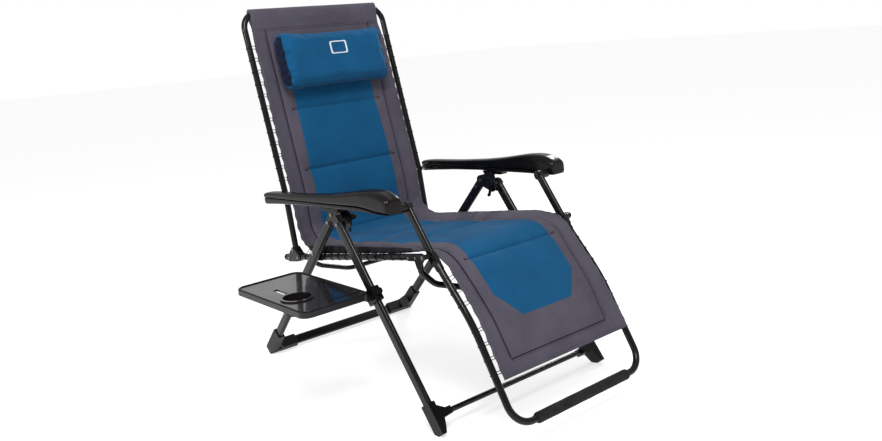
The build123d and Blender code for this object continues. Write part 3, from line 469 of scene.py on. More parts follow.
def edge_rise(s):
    """How far the outer edges stand above the middle line, where they lie on the rails and tubes."""
    return lerp_table([(0.0, 0.0), (0.07, 0.0), (0.14, 0.005), (S_BACK_END - 0.03, 0.006),
                       (S_BACK_END + 0.05, 0.010), (S_SEAT_START, 0.014), (S_KNEE - 0.12, 0.018),
                       (S_KNEE - 0.03, 0.012), (S_KNEE + 0.08, 0.009), (LENGTH - 0.1, 0.009),
                       (LENGTH, 0.013)], s)


def stitch_x(s):
    """Where the piped stitch line runs, to each side of the middle."""
    return lerp_table([(0.0, 0.209), (S_KNEE - 0.08, 0.209), (S_KNEE + 0.12, 0.197), (LENGTH, 0.192)], s)


def blue_half(s):
    """Half the width of the blue centre, which narrows to a flat point on the leg rest."""
    return lerp_table([(0.0, 0.157), (0.26, 0.159), (0.55, 0.169), (S_SEAT_START, 0.165),
                       (S_KNEE - 0.02, 0.163), (S_HEX, 0.158), (S_HEX_END, 0.097), (LENGTH, 0.097)], s)


def half_thick(s):
    return lerp_table([(0.0, 0.0045), (S_BACK_END, 0.0045), (S_SEAT_START, 0.0065), (S_KNEE - 0.05, 0.0065),
                       (S_KNEE + 0.06, 0.005), (LENGTH, 0.0042)], s)


def crown(s):
    """How far the padding swells between its seams."""
    return lerp_table([(0.0, 0.0), (0.08, 0.001), (0.2, 0.006), (S_BACK_END, 0.007), (S_SEAT_START, 0.010),
                       (S_KNEE - 0.05, 0.010), (S_KNEE + 0.05, 0.008), (S_HEX_END, 0.005),
                       (LENGTH - 0.05, 0.0025), (LENGTH, 0.0)], s)


def sleeve_radius(s):
    """Half thickness where the sleeve goes round the top bar."""
    r = 0.0142
    if s < 0.0:
        return sqrt(max(0.0, r * r - s * s))
    if s < 0.010:
        return r - 0.0004 * (s / 0.010)
    return 0.0045 + (r - 0.0049) * (1 - smooth_step(0.006, SLEEVE_SEAM, s))


def heights(x, s):
    """Front and rear surface of the sling, measured from its middle line, in metres."""
    ax = abs(x)
    hw = half_width(s)
    st = stitch_x(s)
    bh = blue_half(s)
    sag = lerp_table([(0.0, 0.0), (0.1, 0.002), (0.35, 0.006), (S_BACK_END, 0.004), (S_SEAT_START, 0.003),
                      (S_SPLIT, 0.006), (S_KNEE - 0.03, 0.001), (LENGTH, 0.003)], s)
    middle = -sag * (1 - (ax / hw) ** 2) + edge_rise(s) * smooth_step(0.195, 0.262, ax)
    body = half_thick(s)
    outer = smooth_step(st - 0.004, st + 0.010, ax)
    thick = body * (1 - outer) + 0.0022 * outer
    hem = 0.0011 * exp(-((ax - hw + 0.006) / 0.005) ** 2)
    lift = crown(s) * (1 - (min(1.0, ax / st)) ** 5)
    near = min(abs(s - c) for c in CHANNELS)
    quilt = exp(-(near / 0.030) ** 2)
    inside = 1 - smooth_step(bh + 0.004, bh + 0.03, ax)
    lift = lift * (1 - 0.80 * quilt * inside)
    if S_BLUE_TOP < s:
        lift -= 0.0046 * exp(-(near / 0.0062) ** 2) * inside
        pucker = exp(-(near / 0.018) ** 2) * inside
        lift += 0.0011 * pucker * noise.noise(Vector((x * 75, s * 20, 6.6)))
    lift -= 0.0012 * exp(-((ax - bh) / 0.0026) ** 2) * smooth_step(S_BLUE_TOP, S_BLUE_TOP + 0.02, s) * (
        1 - smooth_step(S_HEX_END, S_HEX_END + 0.01, s))
    lift -= 0.0040 * exp(-((ax - st) / 0.0042) ** 2) * smooth_step(SLEEVE_SEAM, 0.1, s)
    if ax < st:
        lift -= 0.0022 * exp(-((s - S_BOTTOM_STITCH) / 0.004) ** 2)
    wrinkle = 0.0009 * noise.noise(Vector((x * 22, s * 7, 3.1)))
    wrinkle += 0.0005 * noise.noise(Vector((x * 70, s * 45, 0.4)))
    corner = exp(-((s - S_BACK_END - 0.02) / 0.085) ** 2) * smooth_step(0.165, 0.225, ax)
    wrinkle += 0.0042 * corner * noise.noise(Vector((x * 60 + s * 26, s * 34 - x * 18, 7.7)))
    knee = exp(-((s - S_KNEE + 0.01) / 0.07) ** 2) * smooth_step(0.17, 0.235, ax)
    wrinkle += 0.0030 * knee * noise.noise(Vector((x * 30, s * 48, 1.9)))
    tight = exp(-((s - S_BACK_END) / 0.16) ** 2) * smooth_step(0.05, 0.16, ax)
    wrinkle += 0.0016 * tight * noise.noise(Vector((x * 26, s * 30 + x * 20, 5.2)))
    top_part = 1 - smooth_step(0.0, SLEEVE_SEAM, s)
    if s < SLEEVE_SEAM + 0.004:
        body_r = sleeve_radius(s)
        thick = body_r
        lift = 0.0005 * noise.noise(Vector((x * 14, s * 60, 2.2))) * 2
        hem = 0.0
        middle = 0.0
    seam = -0.0016 * exp(-((s - SLEEVE_SEAM) / 0.003) ** 2)
    front = middle + thick + lift + wrinkle * (1 - top_part) + hem + seam
    rear = middle - thick - 0.35 * lift + wrinkle * 0.5 * (1 - top_part) - hem
    fold = smooth_step(S_SEAT_START - 0.02, S_SEAT_START + 0.05, s)
    fold *= 1 - smooth_step(S_KNEE - 0.06, S_KNEE - 0.03, s)
    if fold > 0 and ax > hw - 0.009:
        p, n = line_at(s)
        slope = (KNEE_HINGE[1] - RAIL_REAR[1]) / (KNEE_HINGE[0] - RAIL_REAR[0])
        rail = RAIL_REAR[1] + (p.x - RAIL_REAR[0]) * slope
        low = (rail + 0.0095 - p.y) / n.y
        rear += (low - rear) * fold * smooth_step(hw - 0.0085, hw - 0.003, ax)
    return front, min(rear, front - 0.0024)


def sling_point(x, s, above=0.0, rear=False):
    p, n = line_at(max(s, 0.0))
    front, back = heights(x, s)
    h = (back if rear else front) + above
    if s < 0:
        p0, n0 = line_at(0.0)
        up = Vector((-n0.y, n0.x))
        up = up if up.y > 0 else -up
        q = p0 + up * (-s) + n0 * h
        return Vector((x, q.x, q.y))
    q = p + n * h
    return Vector((x, q.x, q.y))


def stations(s0, s1, step=0.007):
    """Row positions, closer together at seams and channels."""
    marks = [c for c in CHANNELS if s0 < c < s1]
    marks += [m for m in (S_BLUE_TOP, S_HEX, S_HEX_END, S_BOTTOM_STITCH, SLEEVE_SEAM) if s0 < m < s1]
    rows = {round(s0, 6), round(s1, 6)}
    n = int((s1 - s0) / step)
    rows |= {round(s0 + (s1 - s0) * k / n, 6) for k in range(n + 1)}
    for m in marks:
        rows = {r for r in rows if abs(r - m) > 0.0095 or r in (round(s0, 6), round(s1, 6))}
        rows |= {round(m + d, 6) for d in (-0.008, -0.005, -0.003, -0.0015, 0.0, 0.0015, 0.003, 0.005, 0.008)}
    return sorted(r for r in rows if s0 - 1e-9 <= r <= s1 + 1e-9)


def columns(s):
    """Positions across the sling, with the seams at fixed columns."""
    bh, st, hw = blue_half(s), stitch_x(s), half_width(s)
    half = [bh * k / 14 for k in range(14)] + [bh - 0.003, bh, bh + 0.003]
    half += [bh + 0.003 + (st - 0.007 - bh) * k / 6 for k in range(1, 6)]
    half += [st - 0.004, st - 0.0015, st + 0.0015, st + 0.004]
    half += [st + 0.004 + (hw - 0.012 - st) * k / 6 for k in range(1, 6)]
    half += [hw - 0.008, hw - 0.004, hw - 0.0012, hw]
    return [-v for v in half[:0:-1]] + half


def sew(bm, path, length=0.0042, gap=0.0022, width=0.0011, material=3, above=0.0003):
    """Thread dashes along a list of (x, s) places on the sling."""
    points = [sling_point(x, s, above) for x, s in path]
    run = [0.0]
    for a, b in zip(points, points[1:]):
        run.append(run[-1] + (b - a).length)

    def at(d):
        for i in range(len(run) - 1):
            if d <= run[i + 1]:
                return points[i].lerp(points[i + 1], (d - run[i]) / max(1e-9, run[i + 1] - run[i])), i
        return points[-1], len(points) - 2
    d = 0.0
    while d + length < run[-1]:
        a, i = at(d)
        b, _ = at(d + length)
        x, s = path[min(i, len(path) - 1)]
        _, n2 = line_at(s)
        n = Vector((0, n2.x, n2.y))
        t = (b - a).normalized()
        w = t.cross(n).normalized() * (width / 2)
        up = n * 0.0007
        low = -n * 0.0008
        mid = (a + b) / 2 + up
        ring = [a + low, a + w * 0.6, mid + w, b + w * 0.6, b + low, b - w * 0.6, mid - w, a - w * 0.6]
        v = [bm.verts.new(p) for p in ring]
        top = bm.verts.new(mid + n * 0.0003)
        for k in range(8):
            f = bm.faces.new((v[k], v[(k + 1) % 8], top))
            f.material_index = material
        d += length + gap


def dense(path, step=0.012):
    out = [path[0]]
    for (x0, s0), (x1, s1) in zip(path, path[1:]):
        n = max(1, int(max(abs(x1 - x0), abs(s1 - s0)) / step))
        out += [(x0 + (x1 - x0) * k / n, s0 + (s1 - s0) * k / n) for k in range(1, n + 1)]
    return out


def build_sling(name, s0, s1, head, foot):
    """One stretch of the padded sling, both faces and its edges."""
    bm = bmesh.new()
    uv = bm.loops.layers.uv.new("UVMap")
    rows = stations(s0, s1)
    if head:
        rows = [-0.0142, -0.0138, -0.0125, -0.010, -0.0065, -0.003] + rows
    fronts, rears = [], []
    for s in rows:
        cols = columns(max(s, 0.0))
        fronts.append([bm.verts.new(sling_point(x, s)) for x in cols])
        rears.append([bm.verts.new(sling_point(x, s, 0.0, True)) for x in cols])
    place = {}
    for j, s in enumerate(rows):
        cols = columns(max(s, 0.0))
        for i, x in enumerate(cols):
            place[fronts[j][i]] = (x, s)
            place[rears[j][i]] = (x, s)
    n = len(fronts[0])

    def face(verts, material):
        f = bm.faces.new(verts)
        f.material_index = material
        for loop in f.loops:
            loop[uv].uv = place[loop.vert]
        return f
    for j in range(len(rows) - 1):
        s = (rows[j] + rows[j + 1]) / 2
        for i in range(n - 1):
            x = (columns(max(s, 0.0))[i] + columns(max(s, 0.0))[i + 1]) / 2
            blue = abs(x) < blue_half(s) and S_BLUE_TOP < s < S_HEX_END
            piped = abs(abs(x) - stitch_x(s)) < 0.0012 and SLEEVE_SEAM < s < S_BOTTOM_STITCH
            across = abs(s - S_BOTTOM_STITCH) < 0.0014 and abs(x) < stitch_x(s)
            skin = 3 if piped or across else (0 if blue else 1)
            face((fronts[j][i], fronts[j][i + 1], fronts[j + 1][i + 1], fronts[j + 1][i]), skin)
            # The rear faces take the dark underside colour, a painted shade for the shadow under the sling.
            face((rears[j][i], rears[j + 1][i], rears[j + 1][i + 1], rears[j][i + 1]),
                 1 if s < SLEEVE_SEAM else 2)
        for i, order in ((0, 1), (n - 1, -1)):
            quad = (fronts[j][i], fronts[j + 1][i], rears[j + 1][i], rears[j][i])
            # Along the seat the turned-down edge faces take the same dark colour, a painted shade where the
            # edge folds down to the rail.
            face(quad[::order], 2 if S_SEAT_START < s < S_KNEE - 0.08 else 1)
    for j, order in ((0, -1), (len(rows) - 1, 1)):
        for i in range(n - 1):
            quad = (fronts[j][i], fronts[j][i + 1], rears[j][i + 1], rears[j][i])
            face(quad[::order], 1)
    bmesh.ops.recalc_face_normals(bm, faces=bm.faces)
    a, b = max(s0, 0.003), s1 - 0.001
    for side in (-1, 1):
        inner = [(side * stitch_x(s), s) for s in
                 [a + (b - a) * k / 160 for k in range(161)] if s > SLEEVE_SEAM and s < S_BOTTOM_STITCH]
        sew(bm, inner)
        sew(bm, [(x + side * 0.0055, s) for x, s in inner])
        hemline = [(side * (half_width(s) - 0.010), s) for s in
                   [a + (b - a) * k / 160 for k in range(161)] if s > 0.09]
        sew(bm, hemline, 0.003, 0.003, 0.0008)
    for c in CHANNELS:
        if s0 + 0.01 < c < s1 - 0.01:
            bh = blue_half(c)
            sew(bm, dense([(-bh - 0.012, c), (bh + 0.012, c)]), 0.0036, 0.0018, 0.0009)
            for side in (-1, 1):
                tack = [(side * (bh + 0.010), c), (side * (bh + 0.026), c)]
                for shift in (-0.0022, -0.0008, 0.0008, 0.0022):
                    sew(bm, [(x, s + shift) for x, s in dense(tack, 0.004)], 0.006, 0.0003, 0.0014, 4)
    if head:
        for shift in (0.0, 0.005):
            sew(bm, dense([(-0.236, SLEEVE_SEAM + shift), (0.236, SLEEVE_SEAM + shift)]))
        sew(bm, dense([(0.186, 0.012), (0.186, SLEEVE_SEAM - 0.004)]), 0.004, 0.001, 0.0014)
        sew(bm, dense([(-0.206, SLEEVE_SEAM + 0.006), (0.206, SLEEVE_SEAM + 0.006)]), 0.004, 0.002, 0.0009)
    if foot:
        for shift in (0.0, 0.0055):
            sx = stitch_x(S_BOTTOM_STITCH)
            sew(bm, dense([(-sx, S_BOTTOM_STITCH + shift), (sx, S_BOTTOM_STITCH + shift)]))
        sew(bm, dense([(-0.236, LENGTH - 0.009), (0.236, LENGTH - 0.009)]), 0.003, 0.003, 0.0008)
    obj = new_piece(name, bm, ["blue", "grey", "underside_painted_shade", "thread", "tack"])
    return obj


rear_sling = build_sling("sling_back_and_seat", 0.0, S_SPLIT, True, False)
front_sling = build_sling("sling_seat_and_leg", S_SPLIT, LENGTH, False, True)
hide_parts("back_sling", "seat_sling")
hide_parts("legrest_sling")
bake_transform(rear_sling)
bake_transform(front_sling)


# ---- elastic lacing ---------------------------------------------------------------------------
def lace_loops(name, places, body):
    """Elastic cord that goes from the sling's edge round the tube and back."""
    bm = bmesh.new()
    for edge, centre, out, up, (tube_x, tube_r, lift), turn in places:
        for side in (-1, 1):
            def put(x, a, b):
                q = centre + out * a + up * b
                return Vector((side * x, q.x, q.y))
            rr = tube_r + 0.0012
            first, last = turn
            points = [put(edge - 0.007, lift + 0.0012, -0.004)]
            for k in range(9):
                w = radians(first + (last - first) * k / 8)
                points.append(put(tube_x + rr * cos(w), rr * sin(w), -0.0035 + 0.007 * k / 8))
            points.append(put(edge - 0.007, lift - 0.0016, 0.004))
            tube_along(bm, points, 0.0011, 6)
    obj = new_piece(name, bm, ["elastic"])
    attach(obj, body)
    return obj


def vec(t):
    return Vector((t[0], t[1]))


def lace_places(p, d, first, last, pitch, edge, tube, turn):
    out = Vector((d[1], -d[0]))
    along = Vector(d)
    n = int((last - first) / pitch)
    return [(edge, vec(p) + along * (first + k * pitch), out, along, tube, turn) for k in range(n + 1)]


ROUND = (115, -115)
RAIL_DIR = unit(RAIL_REAR, KNEE_HINGE)
back_loops = lace_loops("back_lacing_cord",
                        lace_places(BACK_TOP, D_BACK, 0.115, 0.60, LACE_PITCH, 0.266,
                                    (SEAT_HALF, TUBE_R, 0.005), ROUND), "back")
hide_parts("back_lacing")
seat_loops = lace_loops("seat_lacing_cord",
                        lace_places(RAIL_REAR, RAIL_DIR, 0.07, 0.60, LACE_PITCH, 0.274,
                                    (SEAT_HALF, TUBE_R, 0.022), (100, -60)), "seat")
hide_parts("seat_lacing")
lace_loops("legrest_lacing_cord",
           lace_places(KNEE_HINGE, D_LEG, 0.082, 0.19, LACE_PITCH, 0.246,
                       (LEG_HALF, TUBE_R, 0.016), ROUND)
           + lace_places(KNEE_BEND, D_SHIN, 0.02, 0.15, LACE_PITCH, 0.248,
                         (LEG_HALF, TUBE_R, 0.017), ROUND), "legrest")


# ---- head pillow ------------------------------------------------------------------------------
PILLOW_LO, PILLOW_HI = 0.335, 0.533
PILLOW_HALF, PILLOW_T, PILLOW_GAP = 0.208, 0.076, 0.0085
B_UP = Vector((0, -D_BACK[0], -D_BACK[1]))
B_OUT = Vector((0, D_BACK[1], -D_BACK[0]))
P_BASE = Vector((0, ARM_REAR[0], ARM_REAR[1]))


def on_back(x, up, out):
    return Vector((x, 0, 0)) + P_BASE + B_UP * up + B_OUT * out


def pillow_start():
    """A soft block, a little smaller than the finished pillow."""
    bm = bmesh.new()
    nx, nu, nt = 26, 12, 6
    mid = (PILLOW_LO + PILLOW_HI) / 2
    hu = (PILLOW_HI - PILLOW_LO) / 2 - 0.003
    ht = PILLOW_T / 2 - 0.003
    grid = {}
    for i in range(nx + 1):
        for j in range(nu + 1):
            for k in range(nt + 1):
                if i in (0, nx) or j in (0, nu) or k in (0, nt):
                    a, b, c = 2 * i / nx - 1, 2 * j / nu - 1, 2 * k / nt - 1
                    e = 4.2 if b < 0 else 7.0
                    m = (abs(b) ** e + abs(c) ** e) ** (1 / e)
                    big = max(abs(b), abs(c))
                    f = big / m if m > 0 else 1.0
                    pinch = 1 - 0.035 * smooth_step(0.86, 1.0, abs(a))
                    x = a * (PILLOW_HALF - 0.004)
                    grid[i, j, k] = bm.verts.new(on_back(x, mid + b * f * hu * pinch,
                                                         PILLOW_GAP + 0.002 + ht + c * f * ht * pinch))
    def quad(*keys):
        bm.faces.new([grid[k] for k in keys])
    for i in range(nx):
        for j in range(nu):
            quad((i, j, 0), (i, j + 1, 0), (i + 1, j + 1, 0), (i + 1, j, 0))
            quad((i, j, nt), (i + 1, j, nt), (i + 1, j + 1, nt), (i, j + 1, nt))
        for k in range(nt):
            quad((i, 0, k), (i + 1, 0, k), (i + 1, 0, k + 1), (i, 0, k + 1))
            quad((i, nu, k), (i, nu, k + 1), (i + 1, nu, k + 1), (i + 1, nu, k))
    for j in range(nu):
        for k in range(nt):
            quad((0, j, k), (0, j, k + 1), (0, j + 1, k + 1), (0, j + 1, k))
            quad((nx, j, k), (nx, j + 1, k), (nx, j + 1, k + 1), (nx, j, k + 1))
    bmesh.ops.recalc_face_normals(bm, faces=bm.faces)
    return new_piece("head_pillow", bm, ["pillow", "navy"])


def puff(obj, voxel, pressure, cap, frames=20):
    """Blows the mesh up with a short cloth run, and limits how far any point moves."""
    add_modifier(obj, "REMESH", mode="VOXEL", voxel_size=voxel)
    apply_all(obj)
    before = [v.co.copy() for v in obj.data.vertices]
    cloth = add_modifier(obj, "CLOTH")
    cloth.settings.use_pressure = True
    cloth.settings.uniform_pressure_force = pressure
    cloth.settings.effector_weights.gravity = 0
    cloth.settings.tension_stiffness = 18
    cloth.settings.compression_stiffness = 14
    cloth.settings.bending_stiffness = 0.6
    cloth.settings.quality = 5
    cloth.point_cache.frame_start = 1
    cloth.point_cache.frame_end = frames
    scene = bpy.context.scene
    for f in range(1, frames + 1):
        scene.frame_set(f)
    apply_all(obj)
    for v, p in zip(obj.data.vertices, before):
        d = v.co - p
        if d.length > cap:
            v.co = p + d * (cap / d.length)
    scene.frame_set(1)
    return obj


pillow = pillow_start()
puff(pillow, 0.0055, 4.0, 0.009)
add_modifier(pillow, "SUBSURF", levels=1, render_levels=1)
apply_all(pillow)


def finish_pillow(obj):
    """Seams, folds at the ends, and the two fabrics."""
    mesh = obj.data
    if not mesh.materials:
        mesh.materials.append(MAT["pillow"])
        mesh.materials.append(MAT["navy"])
    mid = (PILLOW_LO + PILLOW_HI) / 2
    floor = PILLOW_GAP + 0.0005
    for v in mesh.vertices:
        rel = v.co - P_BASE
        x, up, out = v.co.x, rel.dot(B_UP), rel.dot(B_OUT)
        ax = abs(x)
        end = smooth_step(0.168, 0.200, ax)
        fold = 0.0045 * end * noise.noise(Vector((x * 30, up * 55, out * 60)))
        fold += 0.0016 * noise.noise(Vector((x * 9, up * 16, out * 20 + 4)))
        fold += 0.0022 * smooth_step(0.10, 0.19, ax) * noise.noise(Vector((x * 24, up * 70, 8.8)))
        n = v.normal
        v.co += n * fold
        seam = exp(-((ax - 0.199) / 0.0035) ** 2)
        v.co -= n * 0.0026 * seam
        rel = v.co - P_BASE
        out = rel.dot(B_OUT)
        if out < floor:
            v.co += B_OUT * (floor - out)
        top = PILLOW_GAP + PILLOW_T + 0.004
        if out > top:
            v.co -= B_OUT * (out - top)
    for f in mesh.polygons:
        f.material_index = 1 if abs(f.center.x) > 0.199 else 0
    mesh.shade_smooth()
    mesh.update()


finish_pillow(pillow)
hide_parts("pillow")
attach(pillow, "head_pillow")


def pillow_piping():
    """The piping where the end gussets meet the front."""
    bm = bmesh.new()
    mid = (PILLOW_LO + PILLOW_HI) / 2
    for side in (-1, 1):
        ring = []
        for k in range(64):
            w = 2 * pi * k / 64
            a, b = cos(w), sin(w)
            direction = (B_UP * a * 0.099 + B_OUT * b * 0.038)
            origin = on_back(side * 0.199, mid, PILLOW_GAP + 0.040)
            best = None
            hit, where, normal, index = pillow.ray_cast(origin + direction * 3, -direction.normalized())
            if hit:
                best = where + direction.normalized() * 0.0004
            if best is not None:
                ring.append(best)
        if len(ring) > 20:
            tube_along(bm, ring, 0.0018, 6, 0, True)
    obj = new_piece("pillow_piping", bm, ["navy"])
    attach(obj, "head_pillow")
    return obj


bpy.context.view_layer.update()
pillow_piping()


def pillow_label():
    """A small blank label with rounded corners, sewn to the front."""
    bm = bmesh.new()
    cx, cu = 0.004, (PILLOW_LO + PILLOW_HI) / 2 + 0.026
    w, h, r = 0.034, 0.022, 0.007
    outline = []
    for qx, qu, start in ((1, 1, 0), (-1, 1, 90), (-1, -1, 180), (1, -1, 270)):
        for k in range(7):
            t = radians(start + 15 * k)
            outline.append((cx + qx * (w - r) + r * cos(t), cu + qu * (h - r) + r * sin(t)))
    def drop(x, u, above):
        hit, where, normal, index = pillow.ray_cast(on_back(x, u, 0.16), -B_OUT)
        base = where if hit else on_back(x, u, PILLOW_GAP + PILLOW_T)
        return base + B_OUT * above
    rings = []
    levels = ((1.0, -0.0005), (1.0, 0.0009), (0.94, 0.0013), (0.84, 0.0013), (0.82, 0.0005), (0.55, 0.0006),
              (0.25, 0.0006))
    for scale, above in levels:
        rings.append([bm.verts.new(drop(cx + (x - cx) * scale, cu + (u - cu) * scale, above))
                      for x, u in outline])
    n = len(outline)
    for level, (r0, r1) in enumerate(zip(rings, rings[1:])):
        for k in range(n):
            f = bm.faces.new((r0[k], r0[(k + 1) % n], r1[(k + 1) % n], r1[k]))
            f.material_index = 1 if level >= 4 else 0
    bm.faces.new(rings[-1]).material_index = 1
    obj = new_piece("pillow_label", bm, ["label", "pillow"])
    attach(obj, "head_pillow")
    return obj


pillow_label()


# ---- armrests ---------------------------------------------------------------------------------
ARM_DIR = unit(ARM_REAR, ARM_FRONT)
ARM_BACK_END = (ARM_REAR[0] - ARM_DIR[0] * 0.020, ARM_REAR[1] - ARM_DIR[1] * 0.020)
ARM_LENGTH = hypot(ARM_FRONT[0] - ARM_REAR[0], ARM_FRONT[1] - ARM_REAR[1]) + 0.047
UNDER = [(0.0, -0.0145), (0.075, -0.011), (0.26, -0.0055), (0.48, -0.0036), (0.75, -0.0044), (1.0, -0.0065)]
TOP = [(0.0, 0.0245), (0.03, 0.0262), (0.075, 0.0275), (0.3, 0.0291), (0.48, 0.0338), (0.6, 0.0400),
       (0.7, 0.0475), (0.8, 0.0560), (0.86, 0.0582), (0.91, 0.0575), (0.95, 0.0530), (0.975, 0.0460),
       (0.99, 0.0390), (1.0, 0.0330)]
SEAM = [(0.0, 0.009), (0.80, 0.009), (0.86, 0.004), (0.92, -0.0035), (1.0, -0.0050)]
INNER = [(0.0, 0.313), (0.46, 0.313), (0.70, 0.2985), (1.0, 0.2975)]
OUTER = [(0.0, 0.3545), (0.5, 0.355), (1.0, 0.355)]


def smooth_table(table, x):
    """A soft curve through a short table."""
    total = weight = 0.0
    for k in range(-4, 5):
        w = exp(-(k / 2.2) ** 2)
        total += w * lerp_table(table, min(1.0, max(0.0, x + k * 0.012)))
        weight += w
    return total / weight


def arm_section(share, low, high, corner_top, corner_low, groove):
    """A closed ring of points round the armrest at a share of its length from the rear."""
    x0, x1 = smooth_table(INNER, share), smooth_table(OUTER, share)
    w, h = (x1 - x0) / 2, (high - low) / 2
    cx, cz = (x0 + x1) / 2, (high + low) / 2
    ring = []
    n = 40
    for k in range(n):
        t = 2 * pi * (k + 0.5) / n
        a, b = cos(t), sin(t)
        e = corner_top if b > 0 else corner_low
        r = (abs(a) ** e + abs(b) ** e) ** (-1 / e)
        x, z = a * r * w, b * r * h
        if groove and b > 0.5 and abs(x) < w * 0.60:
            z -= groove * (0.5 + 0.5 * cos(pi * x / (w * 0.60)))
        ring.append((cx + x, cz + z))
    return ring


def end_round(share, rear, front):
    """1 along the armrest, falling off over a short rounded length at its two ends."""
    a = min(1.0, share / rear)
    b = min(1.0, (1.0 - share) / front)
    return sqrt(max(0.0, 1 - (1 - a) ** 2)), sqrt(max(0.0, 1 - (1 - b) ** 2))


def arm_shell(name, upper, side):
    bm = bmesh.new()
    shares = [0.0, 0.0015, 0.004, 0.008, 0.014, 0.022] + [0.035 + 0.02 * k for k in range(46)]
    shares += [0.945, 0.957, 0.967, 0.976, 0.983, 0.989, 0.994, 0.9975, 0.9993, 1.0]
    rings = []
    for share in sorted(set(round(v, 4) for v in shares)):
        rear, front = end_round(share, 0.014, 0.022)
        if upper:
            low, high = smooth_table(SEAM, share) + 0.0006, smooth_table(TOP, share)
            high = low + max(0.004, (high - low) * (0.72 + 0.28 * rear) * (0.84 + 0.16 * front))
            ring = arm_section(share, low, high, 3.6, 12.0, 0.0014 * smooth_step(0.25, 0.6, share))
        else:
            low, high = smooth_table(UNDER, share), smooth_table(SEAM, share)
            low = high - max(0.0015, high - low) * (0.75 + 0.25 * rear) * (0.70 + 0.30 * front)
            ring = arm_section(share, low, high, 12.0, 4.2, 0.0)
        base = Vector((0, ARM_BACK_END[0] + ARM_DIR[0] * share * ARM_LENGTH,
                       ARM_BACK_END[1] + ARM_DIR[1] * share * ARM_LENGTH))
        up = Vector((0, ARM_DIR[1], -ARM_DIR[0]))
        up = up if up.z > 0 else -up
        cx = sum(p[0] for p in ring) / len(ring)
        squeeze = (0.90 + 0.10 * rear) * (0.86 + 0.14 * front) * (1.0 if upper else 0.955)
        rings.append([bm.verts.new(Vector((side * (cx + (x - cx) * squeeze), 0, 0)) + base + up * z)
                      for x, z in ring])
    n = len(rings[0])
    for r0, r1 in zip(rings, rings[1:]):
        for k in range(n):
            bm.faces.new((r0[k], r0[(k + 1) % n], r1[(k + 1) % n], r1[k]))
    bm.faces.new(rings[0])
    bm.faces.new(rings[-1][::-1])
    bmesh.ops.recalc_face_normals(bm, faces=bm.faces)
    obj = new_piece(name, bm, ["arm"])
    add_modifier(obj, "SUBSURF", levels=1, render_levels=1)
    apply_all(obj)
    obj.data.shade_smooth()
    return obj


for side, word in ((1, "left"), (-1, "right")):
    top_shell = arm_shell(f"armrest_top_{word}", True, side)
    low_shell = arm_shell(f"armrest_shell_{word}", False, side)
    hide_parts(f"armrest_pad_{word}")
    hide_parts(f"armrest_base_{word}")
    for piece in (top_shell, low_shell):
        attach(piece, f"armrest_{word}")


# ---- foam sleeve ------------------------------------------------------------------------------
def foam_sleeve():
    """The foam sleeve on the foot bar, with rounded ends and a slight waviness."""
    lo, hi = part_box("foot_bar_sleeve")
    centre = (lo + hi) / 2
    r = (hi.z - lo.z) / 2
    bm = bmesh.new()
    rings = []
    n, sides = 80, 28
    for i in range(n + 1):
        x = lo.x + (hi.x - lo.x) * i / n
        edge = min(x - lo.x, hi.x - x)
        radius = r * (0.76 + 0.24 * sqrt(min(1.0, edge / 0.008)))
        radius += 0.0004 * noise.noise(Vector((x * 30, 0, 0)))
        rings.append([bm.verts.new(Vector((x, centre.y + radius * cos(2 * pi * k / sides),
                                           centre.z + radius * sin(2 * pi * k / sides))))
                      for k in range(sides)])
    for r0, r1 in zip(rings, rings[1:]):
        for k in range(sides):
            bm.faces.new((r0[k], r0[(k + 1) % sides], r1[(k + 1) % sides], r1[k]))
    bm.faces.new(rings[0])
    bm.faces.new(rings[-1][::-1])
    bmesh.ops.recalc_face_normals(bm, faces=bm.faces)
    obj = new_piece("foam_sleeve", bm, ["foam"])
    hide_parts("foot_bar_sleeve")
    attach(obj, "legrest")


foam_sleeve()


# ---- tray lip ---------------------------------------------------------------------------------
def tray_lip():
    """The raised bead round the edge of the tray."""
    lo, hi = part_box("tray_board")
    inset, corner = 0.0032, 0.028
    x0, x1, y0, y1, z = lo.x + inset, hi.x - inset, lo.y + inset, hi.y - inset, hi.z + 0.0004
    points = []
    for cx, cy, start in ((x1 - corner, y1 - corner, 0), (x0 + corner, y1 - corner, 90),
                          (x0 + corner, y0 + corner, 180), (x1 - corner, y0 + corner, 270)):
        for k in range(10):
            w = radians(start + 10 * k)
            points.append(Vector((cx + corner * cos(w), cy + corner * sin(w), z)))
    bm = bmesh.new()
    tube_along(bm, points, 0.0030, 10, 0, True)
    obj = new_piece("tray_lip", bm, ["plastic"])
    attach(obj, "base")
    return obj


tray_lip()


# ---- floor, light and camera ------------------------------------------------------------------
def floor():
    bm = bmesh.new()
    bmesh.ops.create_grid(bm, x_segments=2, y_segments=2, size=30)
    mesh = bpy.data.meshes.new("floor")
    bm.to_mesh(mesh)
    bm.free()
    s = Shader("pale_floor", (0.55, 0.55, 0.55), 0.95, 0.0, 0.0)
    s.color(s.mix(s.noise(3, 3), (0.545, 0.545, 0.545), (0.555, 0.555, 0.555)))
    s.bsdf.inputs["Emission Color"].default_value = (1, 1, 1, 1)
    s.bsdf.inputs["Emission Strength"].default_value = 0.66
    mesh.materials.append(s.mat)
    obj = bpy.data.objects.new("floor", mesh)
    bpy.context.scene.collection.objects.link(obj)
    obj.location.z = -0.0005


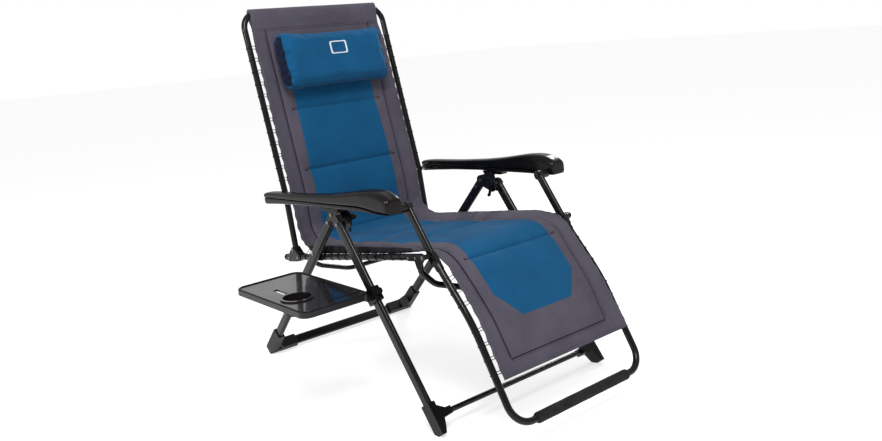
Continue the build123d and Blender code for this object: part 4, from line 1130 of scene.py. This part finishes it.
floor()
world = bpy.data.worlds.new("studio")
world.use_nodes = True
tree = world.node_tree
backdrop = tree.nodes["Background"]
backdrop.inputs["Color"].default_value = (1.0, 1.0, 1.0, 1)
backdrop.inputs["Strength"].default_value = 1.0
room = tree.nodes.new("ShaderNodeBackground")
room.inputs["Color"].default_value = (1.0, 1.0, 1.0, 1)
room.inputs["Strength"].default_value = 0.55
rays = tree.nodes.new("ShaderNodeLightPath")
choose = tree.nodes.new("ShaderNodeMixShader")
tree.links.new(rays.outputs["Is Camera Ray"], choose.inputs["Fac"])
tree.links.new(room.outputs[0], choose.inputs[1])
tree.links.new(backdrop.outputs[0], choose.inputs[2])
tree.links.new(choose.outputs[0], tree.nodes["World Output"].inputs["Surface"])
bpy.context.scene.world = world


def area(name, place, target, size, power, color=(1, 1, 1)):
    data = bpy.data.lights.new(name, "AREA")
    data.energy = power
    data.size = size
    data.color = color
    obj = bpy.data.objects.new(name, data)
    bpy.context.scene.collection.objects.link(obj)
    obj.location = place
    obj.rotation_euler = (Vector(target) - Vector(place)).to_track_quat("-Z", "Y").to_euler()


area("key", (-1.2, -1.9, 3.3), (0, 0, 0.5), 1.3, 95)
area("side", (-2.8, 0.2, 2.0), (0, 0, 0.5), 0.5, 26)
area("rim", (2.5, 0.9, 2.3), (0, 0, 0.6), 0.6, 30)

AZ, EL, ROLL, DIST = radians(-39.2), radians(12.4), radians(-4.9), 2.701
TARGET = Vector((0, -0.159, 0.5))
FOCAL = 859.8 / 882 * 36


def camera():
    data = bpy.data.cameras.new("camera")
    data.sensor_width = 36
    data.lens = FOCAL
    data.clip_end = 100
    obj = bpy.data.objects.new("camera", data)
    bpy.context.scene.collection.objects.link(obj)
    back = Vector((sin(AZ) * cos(EL), -cos(AZ) * cos(EL), sin(EL)))
    right = Vector((0, 0, 1)).cross(back).normalized()
    up = back.cross(right)
    r = cos(ROLL) * right + sin(ROLL) * up
    u = -sin(ROLL) * right + cos(ROLL) * up
    m = Matrix((r, u, back)).transposed().to_4x4()
    m.translation = TARGET + back * DIST
    obj.matrix_world = m
    bpy.context.scene.camera = obj


camera()
bpy.context.scene.view_settings.view_transform = "Standard"
